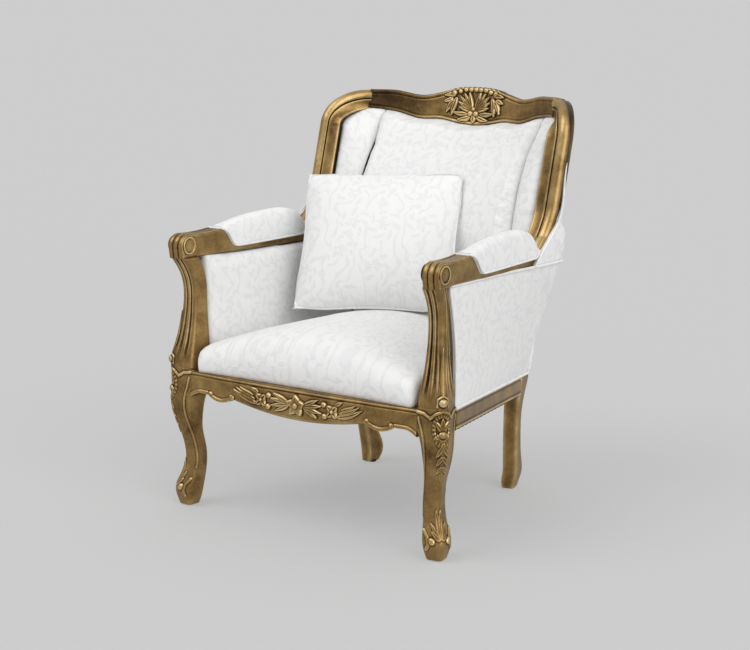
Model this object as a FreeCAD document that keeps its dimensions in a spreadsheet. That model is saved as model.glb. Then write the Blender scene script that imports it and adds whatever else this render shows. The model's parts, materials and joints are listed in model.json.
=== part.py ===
import FreeCAD, Part
import math
import os
from FreeCAD import Placement, Rotation, Vector

# A carved armchair with wings: gilded beech frame, webbed and padded seat, back, arms and wings,
# and a loose throw pillow. Millimetres, +Z up, the chair faces -Y, and +X is the sitter's left
# hand, which is the viewer's right. The origin is on the floor in the middle of the chair.

doc = FreeCAD.newDocument("carved_armchair")

SIZES = {
    # Overall
    "overall_height": (1000, "floor to the top of the crest"),
    "overall_depth": (818, "front of the bowed front rail to the back of the crest"),
    "front_half_width": (402, "middle to the sharp corner of a front leg's block"),
    "clearance": (0.3, "room between a soft piece and its neighbours"),
    # Seat frame
    "rail_splay": (13.6, "angle of the side rails to the depth, degrees"),
    "rail_fall": (4.2, "fall of the side rails to the rear, degrees"),
    "rail_top_front": (347, "top of the rails at the front, above the floor"),
    "rail_height": (48, "height of a side rail"),
    "rail_thickness": (30, "thickness of a seat rail"),
    "side_rail_length": (512, "leg block to rear stile"),
    "front_rail_bow": (10, "bow of the front rail"),
    "front_rail_height": (51, "height of the front rail at its ends"),
    "apron_drop": (22, "drop of the apron below the rail's ends at the middle"),
    "apron_half_width": (195, "half width of the apron's middle lobe"),
    "apron_scroll": (13, "drop of the scroll beside the apron"),
    "apron_scroll_width": (73, "width of that scroll"),
    "rear_rail_height": (46, "height of the rear rail"),
    # Front legs and arm posts
    "leg_block": (74, "side of the block at the top of a front leg"),
    "leg_block_height": (52, "height of that block"),
    "leg_block_rise": (5, "rise of that block above the rails"),
    "knee_radius": (20, "rounding of the block's outer corner"),
    "foot_x": (365, "middle of a front foot, from the middle of the chair"),
    "foot_setback": (40, "middle of a front foot behind the front rail's front"),
    "foot_sole": (28, "half of a front foot's sole, corner to corner"),
    "leg_toe": (41, "half of a front foot's toe, corner to corner"),
    "leg_ankle": (32, "half of a front leg's ankle, corner to corner"),
    "leg_sweep": (19, "sweep of a front leg's ankle behind its foot"),
    "post_waist": (43, "side of the arm post at its waist"),
    "waist_in": (24, "waist of the arm post inside the leg block's corner"),
    "waist_back": (31, "waist of the arm post behind the leg block's corner"),
    "handhold_in": (14, "handhold inside the leg block's corner"),
    "post_top": (50, "side of the arm post under the handhold"),
    "flute_depth": (2.5, "depth of the flutes down an arm post"),
    # Rear stiles
    "stile_thickness": (40, "thickness of a rear leg"),
    "stile_cant": (5.5, "outward lean of a rear stile, degrees"),
    "stile_depth": (42, "depth of a rear leg and of its post"),
    "stile_block": (65, "depth of a rear stile at the seat rails"),
    "heel_kick": (16, "kick of a rear foot's heel"),
    "post_lean": (5.7, "backward lean of the post above the seat, degrees"),
    "panel_rebate": (12, "rebate of the post for the outside cover"),
    # Arms
    "arm_height": (676, "floor to the top of a handhold"),
    "arm_under_front": (620, "underside of an arm at the post"),
    "arm_under_rear": (606, "underside of an arm at the wing"),
    "arm_seat_height": (627, "flat of an arm that carries the pad"),
    "arm_rear_height": (672, "top of an arm's rear end, which carries the wing stile"),
    "arm_width": (48, "width of a handhold"),
    "arm_rear_width": (62, "width of an arm under the wing stile"),
    "pad_set": (208, "front of an arm pad behind the front rail's front"),
    "pad_length": (236, "length of an arm pad"),
    "arm_pad_width": (58, "width of an arm pad"),
    "arm_pad_crown": (72, "height of an arm pad"),
    # Wings and crest
    "wing_set": (538, "wing stile's foot behind the front corner"),
    "wing_x": (342, "middle of a wing stile, from the middle of the chair"),
    "wing_face": (61, "width of a wing stile's face"),
    "wing_depth": (38, "depth of a wing stile"),
    "wing_lean": (16, "backward lean of a wing stile, degrees"),
    "wing_turn": (12, "inward turn of a wing stile's face, degrees"),
    "crest_rise": (50, "top of the crest above its middle line"),
    "crest_end_height": (50, "height of the crest at its ends"),
    "crest_lean": (12.4, "backward lean of the crest, degrees"),
    "crest_radius": (495, "radius of the crest's front face in plan"),
    "crest_half_angle": (33.9, "half of the crest's arc, degrees"),
    "crest_thickness": (34, "thickness of the crest"),
    # Upholstery
    "cover": (3, "thickness of a cover"),
    "wadding": (6, "loose wadding between the back's foam and its cover"),
    "panel": (8, "thickness of an outside cover with its backing"),
    "webbing_width": (50, "width of the webbing"),
    "webbing_thickness": (2.5, "thickness of the webbing"),
    "hessian": (1.5, "thickness of the hessian"),
    "dust_cover": (1.5, "thickness of the dust cover"),
    "seat_crown": (468, "top of the seat above the floor"),
    "seat_edge": (402, "top of the seat along its sides and front"),
    "seat_half_front": (303, "half width of the seat between the arm posts"),
    "seat_rear": (537, "rear of the seat behind the front corner"),
    "panel_inset": (2, "outside arm inside the rail's outer face"),
    "arm_core": (26, "inside arm's backing inside the rail's outer face"),
    "arm_padding": (26, "thickness of an inside arm"),
    "stay_height": (40, "height of the stay rails"),
    "stay_thickness": (14, "thickness of an arm stay rail"),
    "back_stay_low": (405, "underside of the back stay rail above the floor"),
    "back_half_width": (242, "half width of the inside back"),
    # Joinery
    "dowel_radius": (5, "radius of the dowels"),
    "dowel_length": (50, "length of the dowels"),
    "dowel_fit": (0.1, "room round a dowel"),
    "block_reach": (160, "inner face of a front corner block behind the seat's corner"),
    "block_side": (75, "run of a rear corner block along the side rail"),
    "block_height": (30, "height of a corner block"),
    "screw_radius": (2.5, "radius of the screws' shanks"),
    "screw_head": (4.5, "radius of the screws' heads"),
    "screw_length": (62, "length of the screws"),
    "glide_radius": (11, "radius of a foot glide"),
    "glide_height": (3, "height of a foot glide"),
    # Throw pillow
    "pillow_width": (417, "width of the pillow"),
    "pillow_height": (374, "height of the pillow"),
    "pillow_thickness": (165, "thickness of the pillow at its middle"),
    "pillow_side": (40, "pillow's foot to the viewer's left of the middle"),
    "pillow_set": (353, "pillow's foot behind the front corner"),
    "pillow_turn": (20.6, "turn of the pillow on the seat, degrees"),
    "pillow_lean": (29, "lean of the pillow against the back, degrees"),
    "pillow_tip": (-1.7, "tip of the pillow to one side, degrees"),
}

sheet = doc.addObject("Spreadsheet::Sheet", "Sizes")
for row, (name, (value, meaning)) in enumerate(SIZES.items(), start=1):
    sheet.set(f"A{row}", meaning)
    sheet.set(f"B{row}", str(value))
    sheet.setAlias(f"B{row}", name)
doc.recompute()


def size(name):
    return float(sheet.get(name))


# Orientations of a sketch: in plan, seen from the front, and seen from the side
PLAN = Rotation()
ELEVATION = Rotation(Vector(1, 0, 0), 90)
SIDE = Rotation(Vector(1, 1, 1), 120)
UP = Vector(0, 0, 1)


# Drawing helpers

def polyline(points):
    closed = points + points[:1]
    return [Part.LineSegment(a, b) for a, b in zip(closed, closed[1:])]


def curve(points):
    line = Part.BSplineCurve()
    line.interpolate(points)
    return line


def rounded_polygon(points, radii):
    """A closed outline with each corner rounded by an arc."""
    tangents = []
    for i, corner in enumerate(points):
        before = (points[i - 1] - corner).normalize()
        after = (points[(i + 1) % len(points)] - corner).normalize()
        half = before.getAngle(after) / 2
        reach = radii[i] / math.tan(half)
        middle = (before + after).normalize()
        crest = corner + middle * (radii[i] / math.sin(half) - radii[i])
        tangents.append((corner + before * reach, crest, corner + after * reach))
    edges = []
    for i, (start, crest, end) in enumerate(tangents):
        edges.append(Part.Arc(start, crest, end))
        edges.append(Part.LineSegment(end, tangents[(i + 1) % len(points)][0]))
    return edges


def chorded(edges, count):
    """The same outline with its round stretches as short chords, which keeps a loft light."""
    chords = []
    for edge in edges:
        steps = 1 if isinstance(edge, Part.LineSegment) else count
        points = edge.toShape().discretize(steps + 1)
        chords += [Part.LineSegment(a, b) for a, b in zip(points, points[1:])]
    return chords


def sketch(name, edges, base=Vector(), turn=PLAN):
    item = doc.addObject("Sketcher::SketchObject", name)
    item.addGeometry(edges, False)
    item.Placement = Placement(base, turn)
    return item


def wire(name, edges):
    """A closed section in space."""
    item = doc.addObject("Part::Feature", name)
    item.Shape = Part.Wire([edge.toShape() for edge in edges])
    return item


def extrusion(name, profile, length, both_ways=False, backward=False):
    item = doc.addObject("Part::Extrusion", name)
    item.Base = profile
    item.DirMode = "Normal"
    item.Solid = True
    item.Symmetric = both_ways
    item.Reversed = backward
    item.setExpression("LengthFwd", length)
    return item


def loft(name, sections, ruled=False):
    item = doc.addObject("Part::Loft", name)
    item.Sections = sections
    item.Solid = True
    item.Ruled = ruled
    return item


def tangent(before, here, after):
    """Slope through three values that never overshoots them."""
    rise, run_on = here - before, after - here
    return 2 * rise * run_on / (rise + run_on) if rise * run_on > 0 else 0.0


def between(stations, parts):
    """The stations with more put in between, on smooth curves through them."""
    last = len(stations) - 1
    columns = []
    for values in zip(*stations):
        slopes = [tangent(values[i - 1], values[i], values[i + 1]) for i in range(1, last)]
        slopes = [values[1] - values[0], *slopes, values[last] - values[last - 1]]
        column = []
        for i in range(last):
            for t in (step / parts for step in range(parts)):
                ease = t * t * (3 - 2 * t)
                lead = slopes[i] * t * (1 - t) ** 2 - slopes[i + 1] * t * t * (1 - t)
                column.append(values[i] + (values[i + 1] - values[i]) * ease + lead)
        columns.append(column + [values[last]])
    return list(zip(*columns))


def combine(kind, name, base, tool):
    item = doc.addObject(f"Part::{kind}", name)
    item.Base = base
    item.Tool = tool
    return item


def common(name, base, tool):
    return combine("Common", name, base, tool)


def fuse(name, items):
    item = doc.addObject("Part::MultiFuse", name)
    item.Shapes = items
    return item


def cut(name, base, tools):
    tool = tools[0] if len(tools) == 1 else fuse(name + "_tools", tools)
    return combine("Cut", name, base, tool)


def fitted(name, base, neighbours):
    """A piece with its neighbours cut away, one after the other."""
    item = base
    for neighbour in neighbours:
        item = combine("Cut", name, item, neighbour)
    return item


def group(name, items):
    item = doc.addObject("Part::Compound", name)
    item.Links = items
    return item


def mirrored(name, source):
    item = doc.addObject("Part::Mirroring", name)
    item.Source = source
    item.Normal = Vector(1, 0, 0)
    item.Base = Vector()
    return item


def body_sketch(body, role, edges):
    plane = next(f for f in body.Origin.OriginFeatures if f.Role == role)
    item = body.newObject("Sketcher::SketchObject", body.Name + "_outline")
    item.AttachmentSupport = (plane, [""])
    item.MapMode = "FlatFace"
    item.addGeometry(edges, False)
    return item


def padded_body(name, role, edges, length, backward=False):
    body = doc.addObject("PartDesign::Body", name)
    outline = body_sketch(body, role, edges)
    pad = body.newObject("PartDesign::Pad", name + "_pad")
    pad.Profile = outline
    pad.Reversed = backward
    pad.setExpression("Length", length)
    return body


nodes = {}


def keep(label, item):
    item.Label = label
    nodes[label] = item
    return item


def keep_pair(label, item):
    """The piece on the +X side, and its mirror image."""
    keep(label + "_right", item)
    return keep(label + "_left", mirrored(label + "_mirror", item))


# The seat's plan: the sharp front corner and the line of the side rails

splay = math.radians(size("rail_splay"))
fall = math.tan(math.radians(size("rail_fall")))
front = -size("overall_depth") / 2
corner = Vector(size("front_half_width"), front + size("front_rail_bow"), 0)
along = Vector(-math.sin(splay), math.cos(splay), 0)
inward = Vector(-math.cos(splay), -math.sin(splay), 0)
diagonal = (Vector(1, 0, 0) - along).normalize()
lateral = Vector(-diagonal.y, diagonal.x, 0)
half_corner = along.getAngle(Vector(-1, 0, 0)) / 2
rail_direction = Rotation(UP, 90 + size("rail_splay"))
stile_run = size("leg_block") + size("side_rail_length")


def side_line(run, depth=0.0, height=0.0):
    """A point on the side rail's line: run behind the corner, depth inside the outer face."""
    return corner + along * run + inward * depth + UP * height


def rail_top(y):
    return size("rail_top_front") - fall * (y - corner.y) / math.cos(splay)


def arm_under(y):
    span = size("side_rail_length")
    drop = size("arm_under_front") - size("arm_under_rear")
    return size("arm_under_front") - drop * (y - corner.y - size("leg_block")) / span


# Seat rails

def front_rail():
    end = corner.x - size("leg_block")
    inner_end = end - size("rail_thickness") * math.tan(splay)
    back = corner.y + size("rail_thickness")
    plan = [
        Part.Arc(Vector(-end, corner.y), Vector(0, front), Vector(end, corner.y)),
        Part.LineSegment(Vector(end, corner.y), Vector(inner_end, back)),
        Part.LineSegment(Vector(inner_end, back), Vector(-inner_end, back)),
        Part.LineSegment(Vector(-inner_end, back), Vector(-end, corner.y)),
    ]
    top = size("rail_top_front")
    low = top - size("front_rail_height")
    lobe = size("apron_half_width")
    scroll = lobe + size("apron_scroll_width")
    scroll_middle = Vector((lobe + scroll) / 2, low - size("apron_scroll"))
    left_middle = Vector(-scroll_middle.x, scroll_middle.y)
    elevation = [
        Part.Arc(Vector(-lobe, low), Vector(0, low - size("apron_drop")), Vector(lobe, low)),
        Part.Arc(Vector(lobe, low), scroll_middle, Vector(scroll, low)),
        Part.LineSegment(Vector(scroll, low), Vector(end, low)),
        Part.LineSegment(Vector(end, low), Vector(end, top)),
        Part.LineSegment(Vector(end, top), Vector(-end, top)),
        Part.LineSegment(Vector(-end, top), Vector(-end, low)),
        Part.LineSegment(Vector(-end, low), Vector(-scroll, low)),
        Part.Arc(Vector(-scroll, low), left_middle, Vector(-lobe, low)),
    ]
    shape = extrusion("front_rail_plan", sketch("front_rail_plan_outline", plan), "Sizes.rail_top_front")
    face = sketch("front_rail_face_outline", elevation, turn=ELEVATION)
    sawn = extrusion("front_rail_face", face, "Sizes.overall_depth * 2", both_ways=True)
    return common("front_rail_common", shape, sawn)


def side_rail():
    length = size("side_rail_length")
    high = size("rail_height")
    start = size("rail_top_front") - fall * size("leg_block") - high
    outline = polyline([
        Vector(0, start),
        Vector(length, start - fall * length),
        Vector(length, start - fall * length + high),
        Vector(0, start + high),
    ])
    body = padded_body("side_rail_body", "XZ_Plane", outline, "Sizes.rail_thickness", backward=True)
    body.Placement = Placement(side_line(size("leg_block")), rail_direction)
    return body


def rear_rail():
    run = stile_run + size("stile_block") - size("rail_thickness")
    low = rail_top(side_line(stile_run).y) - size("rail_height")
    sections = []
    for level in (low, low + size("rear_rail_height")):
        near = stile_point(run, size("stile_thickness"), level)
        far = stile_point(run + size("rail_thickness"), size("stile_thickness"), level)
        corners = [near, far, flipped(far), flipped(near)]
        sections.append(wire("rear_rail_section", polyline(corners)))
    return loft("rear_rail_loft", sections, ruled=True)


def flipped(point):
    return Vector(-point.x, point.y, point.z)


# Front legs: rounded kites, lofted from the sole over the toe and the ankle to the knee

block_top = size("rail_top_front") + size("leg_block_rise")
block_low = block_top - size("leg_block_height")


def kite(name, middle, tip, tail, side, radii):
    points = [
        middle + diagonal * tip,
        middle + lateral * side,
        middle - diagonal * tail,
        middle - lateral * side,
    ]
    return wire(name, chorded(rounded_polygon(points, radii), 4))


def block_section(name, level, side):
    tip = side * math.cos(half_corner)
    middle = corner - diagonal * tip + UP * level
    rest = size("knee_radius") / 4
    return kite(name, middle, tip, tip, side * math.sin(half_corner), [size("knee_radius"), rest, rest, rest])


def front_leg():
    sole = size("foot_sole")
    toe = size("leg_toe")
    ankle = size("leg_ankle")
    knee = size("leg_block") * math.cos(half_corner)
    low = size("glide_height")
    # share of the leg's height, share of the sweep, half of the section corner to corner
    stations = [
        (0.0, 0.0, sole),
        (0.05, 0.0, (sole + toe) / 2),
        (0.14, 0.05, toe),
        (0.24, 0.55, (toe + ankle) / 2),
        (0.37, 1.0, ankle),
        (0.50, 0.9, ankle),
        (0.63, 0.45, ankle * 0.9 + knee * 0.1),
        (0.78, 0.1, (ankle + knee) / 2),
        (0.92, 0.2, knee * 0.93),
    ]
    foot = Vector(size("foot_x"), front + size("foot_setback"), 0)
    block_sweep = (foot - corner + diagonal * knee).dot(diagonal) / size("leg_sweep")
    sections = []
    for height, sweep, half in between([*stations, (1.0, block_sweep, knee)], 2)[:-1]:
        level = low + height * (block_low - low)
        middle = foot - diagonal * (sweep * size("leg_sweep")) + UP * level
        side = half * (0.96 - 0.16 * height)
        rounds = [half * 0.36, half * 0.3, half * 0.36, half * 0.3]
        sections.append(kite("leg_section", middle, half, half, side, rounds))
    top = block_section("leg_block_section", block_low, size("leg_block"))
    leg = loft("front_leg_loft", sections + [top], ruled=True)
    block = doc.addObject("Part::Extrusion", "front_leg_block")
    block.Base = top
    block.DirMode = "Custom"
    block.Dir = UP
    block.Solid = True
    block.setExpression("LengthFwd", "Sizes.leg_block_height")
    return fuse("front_leg_whole", [leg, block])


# Arm posts: the block's section drawn in to a waist and out again, with flutes on the outer faces

def fluted_face(start, end, outward, depth):
    """A straight face of a section with two shallow flutes."""
    step = end - start
    marks = [start + step * share for share in (0.27, 0.45, 0.57, 0.75)]
    first = (marks[0] + marks[1]) * 0.5 - outward * depth
    second = (marks[2] + marks[3]) * 0.5 - outward * depth
    return [
        Part.LineSegment(start, marks[0]),
        Part.Arc(marks[0], first, marks[1]),
        Part.LineSegment(marks[1], marks[2]),
        Part.Arc(marks[2], second, marks[3]),
        Part.LineSegment(marks[3], end),
    ]


def post_section(level, tip, side, depth):
    radius = side * 0.2
    points = [tip, tip + along * side, tip + along * side - Vector(side, 0, 0), tip - Vector(side, 0, 0)]
    points = [point + UP * level for point in points]
    arcs = rounded_polygon(points, [radius] * 4)
    corners = arcs[0::2]
    ends = [(arc.toShape().Vertexes[0].Point, arc.toShape().Vertexes[1].Point) for arc in corners]
    outer = inward * -1
    return wire("post_section", chorded([
        corners[0],
        *fluted_face(ends[0][1], ends[1][0], outer, depth),
        corners[1],
        arcs[3],
        corners[2],
        arcs[5],
        corners[3],
        *fluted_face(ends[3][1], ends[0][0], Vector(0, -1, 0), depth),
    ], 4))


post_waist = corner + Vector(-size("waist_in"), size("waist_back"), 0)
post_top = corner - Vector(size("handhold_in"), 0, 0)


def arm_post():
    sides = (size("leg_block"), size("post_waist"), size("post_top"))
    tips = (corner, post_waist, post_top)
    # share of the post's height, and shares of its base, waist and top
    stations = [
        (0.0, 1.0, 0.0, 0.0),
        (0.08, 0.93, 0.07, 0.0),
        (0.19, 0.66, 0.34, 0.0),
        (0.37, 0.26, 0.74, 0.0),
        (0.60, 0.0, 1.0, 0.0),
        (0.78, 0.0, 0.93, 0.07),
        (0.92, 0.0, 0.45, 0.55),
        (1.0, 0.0, 0.0, 1.0),
    ]
    high = size("arm_under_front") - block_top
    sections = []
    for height, *shares in between(stations, 2):
        tip = sum((point * share for point, share in zip(tips, shares)), Vector())
        side = sum(length * share for length, share in zip(sides, shares))
        depth = size("flute_depth") * (1 - 0.8 * shares[0])
        sections.append(post_section(block_top + height * high, tip, side, depth))
    return loft("arm_post_loft", sections, ruled=True)


# Rear stiles: leg and back post sawn from one board, set along the side rail and canted outward

cant = math.radians(size("stile_cant"))
stile_rail_top = rail_top(side_line(stile_run).y)
flush_height = stile_rail_top - size("rail_height") / 2
stile_top = size("overall_height") - size("crest_rise")
wing_shoulder = stile_top - size("crest_end_height")
rebate_low = rail_top(side_line(stile_run + size("stile_block")).y)


def stile_point(run, through, level):
    """A point of a rear stile: through its thickness from the outer face, at a level."""
    rise = (level - through * math.sin(cant)) / math.cos(cant)
    depth = flush_height * math.tan(cant) + through * math.cos(cant) - rise * math.sin(cant)
    return side_line(run, depth, level)


def stile_back(level):
    """How far behind the rail's end the post's rear face lies."""
    return size("stile_block") + (level - rebate_low) * math.tan(math.radians(size("post_lean")))


def rear_stile():
    rail_low = stile_rail_top - size("rail_height")
    block = size("stile_block")
    depth = size("stile_depth")
    heel = block - 3
    toe = heel - depth
    low = size("glide_height")
    top = stile_top
    front_edge = curve([
        Vector(toe, low),
        Vector(toe + 2, rail_low * 0.24),
        Vector(toe * 0.75, rail_low * 0.4),
        Vector(toe * 0.3, rail_low * 0.66),
        Vector(0, rail_low - 3),
    ])
    back_edge = curve([
        Vector(depth * 0.82, rail_low * 0.9),
        Vector(depth, rail_low * 0.66),
        Vector(depth * 1.3, rail_low * 0.4),
        Vector(heel + size("heel_kick"), rail_low * 0.15),
        Vector(heel, low),
    ])
    points = [
        Vector(0, stile_rail_top + 6),
        Vector(stile_back(stile_rail_top + 30) - depth, stile_rail_top + 30),
        Vector(stile_back(top) - depth, top),
        Vector(stile_back(top), top),
        Vector(block, rebate_low),
        Vector(block, rail_low + 6),
    ]
    ends = [front_edge.EndPoint, *points, back_edge.StartPoint]
    sides = [Part.LineSegment(a, b) for a, b in zip(ends, ends[1:])]
    sole = Part.LineSegment(back_edge.EndPoint, front_edge.StartPoint)
    outline = [front_edge, *sides, back_edge, sole]
    body = padded_body("rear_stile_body", "XZ_Plane", outline, "Sizes.stile_thickness", backward=True)
    reach = size("overall_depth")
    rebate_outline = body_sketch(body, "XZ_Plane", polyline([
        Vector(-reach, rebate_low),
        Vector(reach, rebate_low),
        Vector(reach, top + reach),
        Vector(-reach, top + reach),
    ]))
    rebate = body.newObject("PartDesign::Pocket", "rear_stile_rebate")
    rebate.Profile = rebate_outline
    rebate.setExpression("Length", "Sizes.panel_rebate")
    lean = Rotation(Vector(1, 0, 0), size("stile_cant"))
    base = side_line(stile_run, flush_height * math.tan(cant))
    body.Placement = Placement(base, rail_direction.multiply(lean))
    return body


# Crest: sawn to its curve in plan and to its wavy edges in front view, then leaned back

crest_lean = Rotation(Vector(1, 0, 0), -size("crest_lean"))
lean_cos = math.cos(math.radians(size("crest_lean")))
lean_sin = math.sin(math.radians(size("crest_lean")))
crest_high = size("crest_rise") / lean_cos
crest_y = size("overall_depth") / 2 - size("crest_thickness") * lean_cos - crest_high * lean_sin
crest_base = Vector(0, crest_y, size("overall_height") - size("crest_rise"))
crest_place = Placement(crest_base, crest_lean)
crest_end = math.radians(size("crest_half_angle"))


def crest_arc(radius, angle):
    """A point of the crest's plan, on a radius from the arc's centre."""
    return Vector(radius * math.sin(angle), radius * math.cos(angle) - size("crest_radius"), 0)


def crest_joint():
    """Middle of the crest's end, where the wing stile meets it."""
    middle = crest_arc(size("crest_radius") + size("crest_thickness") / 2, crest_end)
    middle.z = -0.07 * size("crest_end_height")
    return crest_place.multVec(middle)


crest_tangent = Vector(-math.cos(crest_end), math.sin(crest_end), 0)


def crest_edge(share, high):
    """Waves of the crest's two edges: shares of its half width, and heights there."""
    half = size("crest_radius") * math.sin(crest_end)
    right = [Vector(half * s, h) for s, h in zip(share, high)]
    left = [Vector(-p.x, p.y) for p in reversed(right[1:])]
    return curve(left + right)


def crest_top_edge():
    end = size("crest_end_height") * 0.43
    shares = (0, 0.2, 0.36, 0.55, 0.78, 0.95, 1.2)
    return crest_edge(shares, (crest_high, crest_high - 4, 35, 23, 29, 25, end))


def crest_bottom_edge(clear=0.0):
    end = size("crest_end_height") * -0.57
    heights = (-48, -43, -37, -40, -29, -27, end)
    return crest_edge((0, 0.2, 0.36, 0.55, 0.74, 0.95, 1.2), [h - clear for h in heights])


def crest_rail():
    inner = size("crest_radius")
    outer = inner + size("crest_thickness")
    plan = [
        Part.Arc(crest_arc(inner, -crest_end), Vector(), crest_arc(inner, crest_end)),
        Part.LineSegment(crest_arc(inner, crest_end), crest_arc(outer, crest_end)),
        Part.Arc(crest_arc(outer, crest_end), crest_arc(outer, 0), crest_arc(outer, -crest_end)),
        Part.LineSegment(crest_arc(outer, -crest_end), crest_arc(inner, -crest_end)),
    ]
    top = crest_top_edge()
    bottom = crest_bottom_edge()
    elevation = [
        bottom,
        Part.LineSegment(bottom.EndPoint, top.EndPoint),
        top,
        Part.LineSegment(top.StartPoint, bottom.StartPoint),
    ]
    plan_outline = sketch("crest_plan_outline", plan, crest_base, crest_lean)
    face_outline = sketch("crest_face_outline", elevation, crest_base, crest_lean.multiply(ELEVATION))
    bent = extrusion("crest_plan", plan_outline, "Sizes.overall_height", both_ways=True)
    sawn = extrusion("crest_face", face_outline, "Sizes.overall_depth * 2", both_ways=True)
    return common("crest_common", bent, sawn)


# Wing stiles: a moulded section swept up from the arm and over into the crest's end

def wing_section(middle, ahead, outer, face, depth):
    """Outer round band, a quirk, and an inner flat band."""
    def at(share, out):
        return middle + outer * (share * face) + ahead * (out * depth)
    shoulder = at(0.07, 0.44)
    points = [at(0.045, 0.36), at(0.02, 0.5), at(-0.5, 0.5), at(-0.5, -0.5), at(0.5, -0.5)]
    path = [shoulder, *points, at(0.5, 0.2)]
    edges = [Part.LineSegment(a, b) for a, b in zip(path, path[1:])]
    edges.append(Part.Arc(at(0.5, 0.2), at(0.38, 0.45), shoulder))
    return wire("wing_section", chorded(edges, 5))


wing_slope = math.tan(math.radians(size("wing_lean")))
wing_toe = 8


def wing_middle(level):
    rise = level - size("arm_rear_height")
    return Vector(size("wing_x"), corner.y + size("wing_set") + rise * wing_slope, level)


def wing_stile():
    turn = math.radians(size("wing_turn"))
    face = size("wing_face")
    depth = size("wing_depth")
    foot = size("arm_rear_height")
    shoulder = wing_shoulder
    rise = Vector(0, wing_slope, 1).normalize()
    joint = crest_joint()
    start = wing_middle(shoulder)
    handles = [start, start + rise * 45, joint - crest_tangent * 40, joint]
    sections = []

    def add(middle, tangent, angle, wide, deep):
        flat = Vector(-math.sin(angle), -math.cos(angle), 0)
        ahead = (flat - tangent * flat.dot(tangent)).normalize()
        sections.append(wing_section(middle, ahead, tangent.cross(ahead), wide, deep))

    add(wing_middle(foot) - Vector(0, wing_toe, 0), UP, turn, face, depth + 14)
    # height above the arm, how far the foot still comes forward, and how much deeper it is there
    for high, forward, deeper in ((14, 5.4, 9.5), (34, 2.5, 4.5), (62, 0, 0)):
        add(wing_middle(foot + high) - Vector(0, forward, 0), rise, turn, face, depth + deeper)
    for share in (0, 0.15, 0.3, 0.45, 0.6, 0.75, 0.88):
        rest = 1 - share
        weights = (rest ** 3, 3 * rest ** 2 * share, 3 * rest * share ** 2, share ** 3)
        pull = (-rest ** 2, rest ** 2 - 2 * rest * share, 2 * rest * share - share ** 2, share ** 2)
        middle = sum((p * w for p, w in zip(handles, weights)), Vector())
        tangent = sum((p * w for p, w in zip(handles, pull)), Vector()).normalize()
        angle = turn + (crest_end - turn) * share
        wide = face + (size("crest_end_height") - face) * share
        deep = depth + (size("crest_thickness") - depth) * share
        add(middle, tangent, angle, wide, deep)
    radial = crest_lean.multVec(Vector(-math.sin(crest_end), -math.cos(crest_end), 0))
    upward = crest_lean.multVec(UP)
    sections.append(wing_section(joint, radial, upward, size("crest_end_height"), size("crest_thickness")))
    return loft("wing_stile_loft", sections, ruled=True)


# Arms: sawn to a plan curve and to a side outline with handhold, pad seat and rear sweep

arm_rear = corner.y + size("wing_set") + size("wing_depth") - 5
handhold_radius = (size("arm_height") - size("arm_under_front")) / 2
handhold_x = corner.x - size("handhold_in") - size("arm_width") / 2
pad_front = front + size("pad_set")
pad_rear = pad_front + size("pad_length")


def arm_x(y):
    share = (y - corner.y) / (arm_rear - corner.y)
    return handhold_x + (size("wing_x") - 2 - handhold_x) * share


def arm():
    wide = size("arm_width") / 2
    rear_wide = size("arm_rear_width") / 2
    middle_wide = wide - 1.5
    stations = [
        (corner.y - 4, wide),
        (corner.y + 100, wide),
        (corner.y + 300, middle_wide),
        (pad_rear + 20, middle_wide),
        (arm_rear, rear_wide),
    ]
    outer = curve([Vector(arm_x(y) + half, y) for y, half in stations])
    inner = curve([Vector(arm_x(y) - half, y) for y, half in reversed(stations)])
    plan = [
        outer,
        Part.LineSegment(outer.EndPoint, inner.StartPoint),
        inner,
        Part.LineSegment(inner.EndPoint, outer.StartPoint),
    ]
    top = size("arm_height")
    flat = size("arm_seat_height")
    back = size("arm_rear_height")
    stile_seat = corner.y + size("wing_set") - 41
    under = size("arm_under_front")
    ridge = pad_front - 64
    post_rear = corner.y + size("leg_block")
    nose = corner.y + handhold_radius - 4
    sweep = curve([
        Vector(stile_seat, back),
        Vector(stile_seat - 22, flat + 28),
        Vector(pad_rear + 18, flat + 7),
        Vector(pad_rear, flat),
    ])
    step = curve([
        Vector(pad_front, flat),
        Vector(pad_front - 18, flat + 5),
        Vector(pad_front - 40, flat + 34),
        Vector(ridge, top + 1),
    ])
    hollow = Part.Arc(Vector(ridge, top + 1), Vector((ridge + nose) / 2, top - 3), Vector(nose, top))
    front_low = Vector(nose, under)
    outline = [
        Part.LineSegment(front_low, Vector(post_rear, under)),
        Part.LineSegment(Vector(post_rear, under), Vector(arm_rear, arm_under(arm_rear))),
        Part.LineSegment(Vector(arm_rear, arm_under(arm_rear)), Vector(arm_rear, back)),
        Part.LineSegment(Vector(arm_rear, back), Vector(stile_seat, back)),
        sweep,
        Part.LineSegment(Vector(pad_rear, flat), Vector(pad_front, flat)),
        step,
        hollow,
        Part.Arc(Vector(nose, top), Vector(nose - handhold_radius, top - handhold_radius), front_low),
    ]
    bent = extrusion("arm_plan", sketch("arm_plan_outline", plan), "Sizes.overall_height")
    side = sketch("arm_side_outline", outline, turn=SIDE)
    sawn = extrusion("arm_side", side, "Sizes.overall_depth * 2", both_ways=True)
    return common("arm_common", bent, sawn)


# Dowels and screws

def cylinder(name, middle, axis, radius, length):
    item = doc.addObject("Part::Cylinder", name)
    item.setExpression("Radius", radius)
    item.setExpression("Height", length)
    doc.recompute([item])
    item.Placement = Placement(middle - axis * (item.Height.Value / 2), Rotation(UP, axis))
    return item


def dowel(middle, axis):
    return cylinder("dowel", middle, axis, "Sizes.dowel_radius", "Sizes.dowel_length")


def dowel_hole(middle, axis):
    room = "Sizes.dowel_radius + Sizes.dowel_fit"
    return cylinder("dowel_hole", middle, axis, room, "Sizes.dowel_length + 2")


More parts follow.
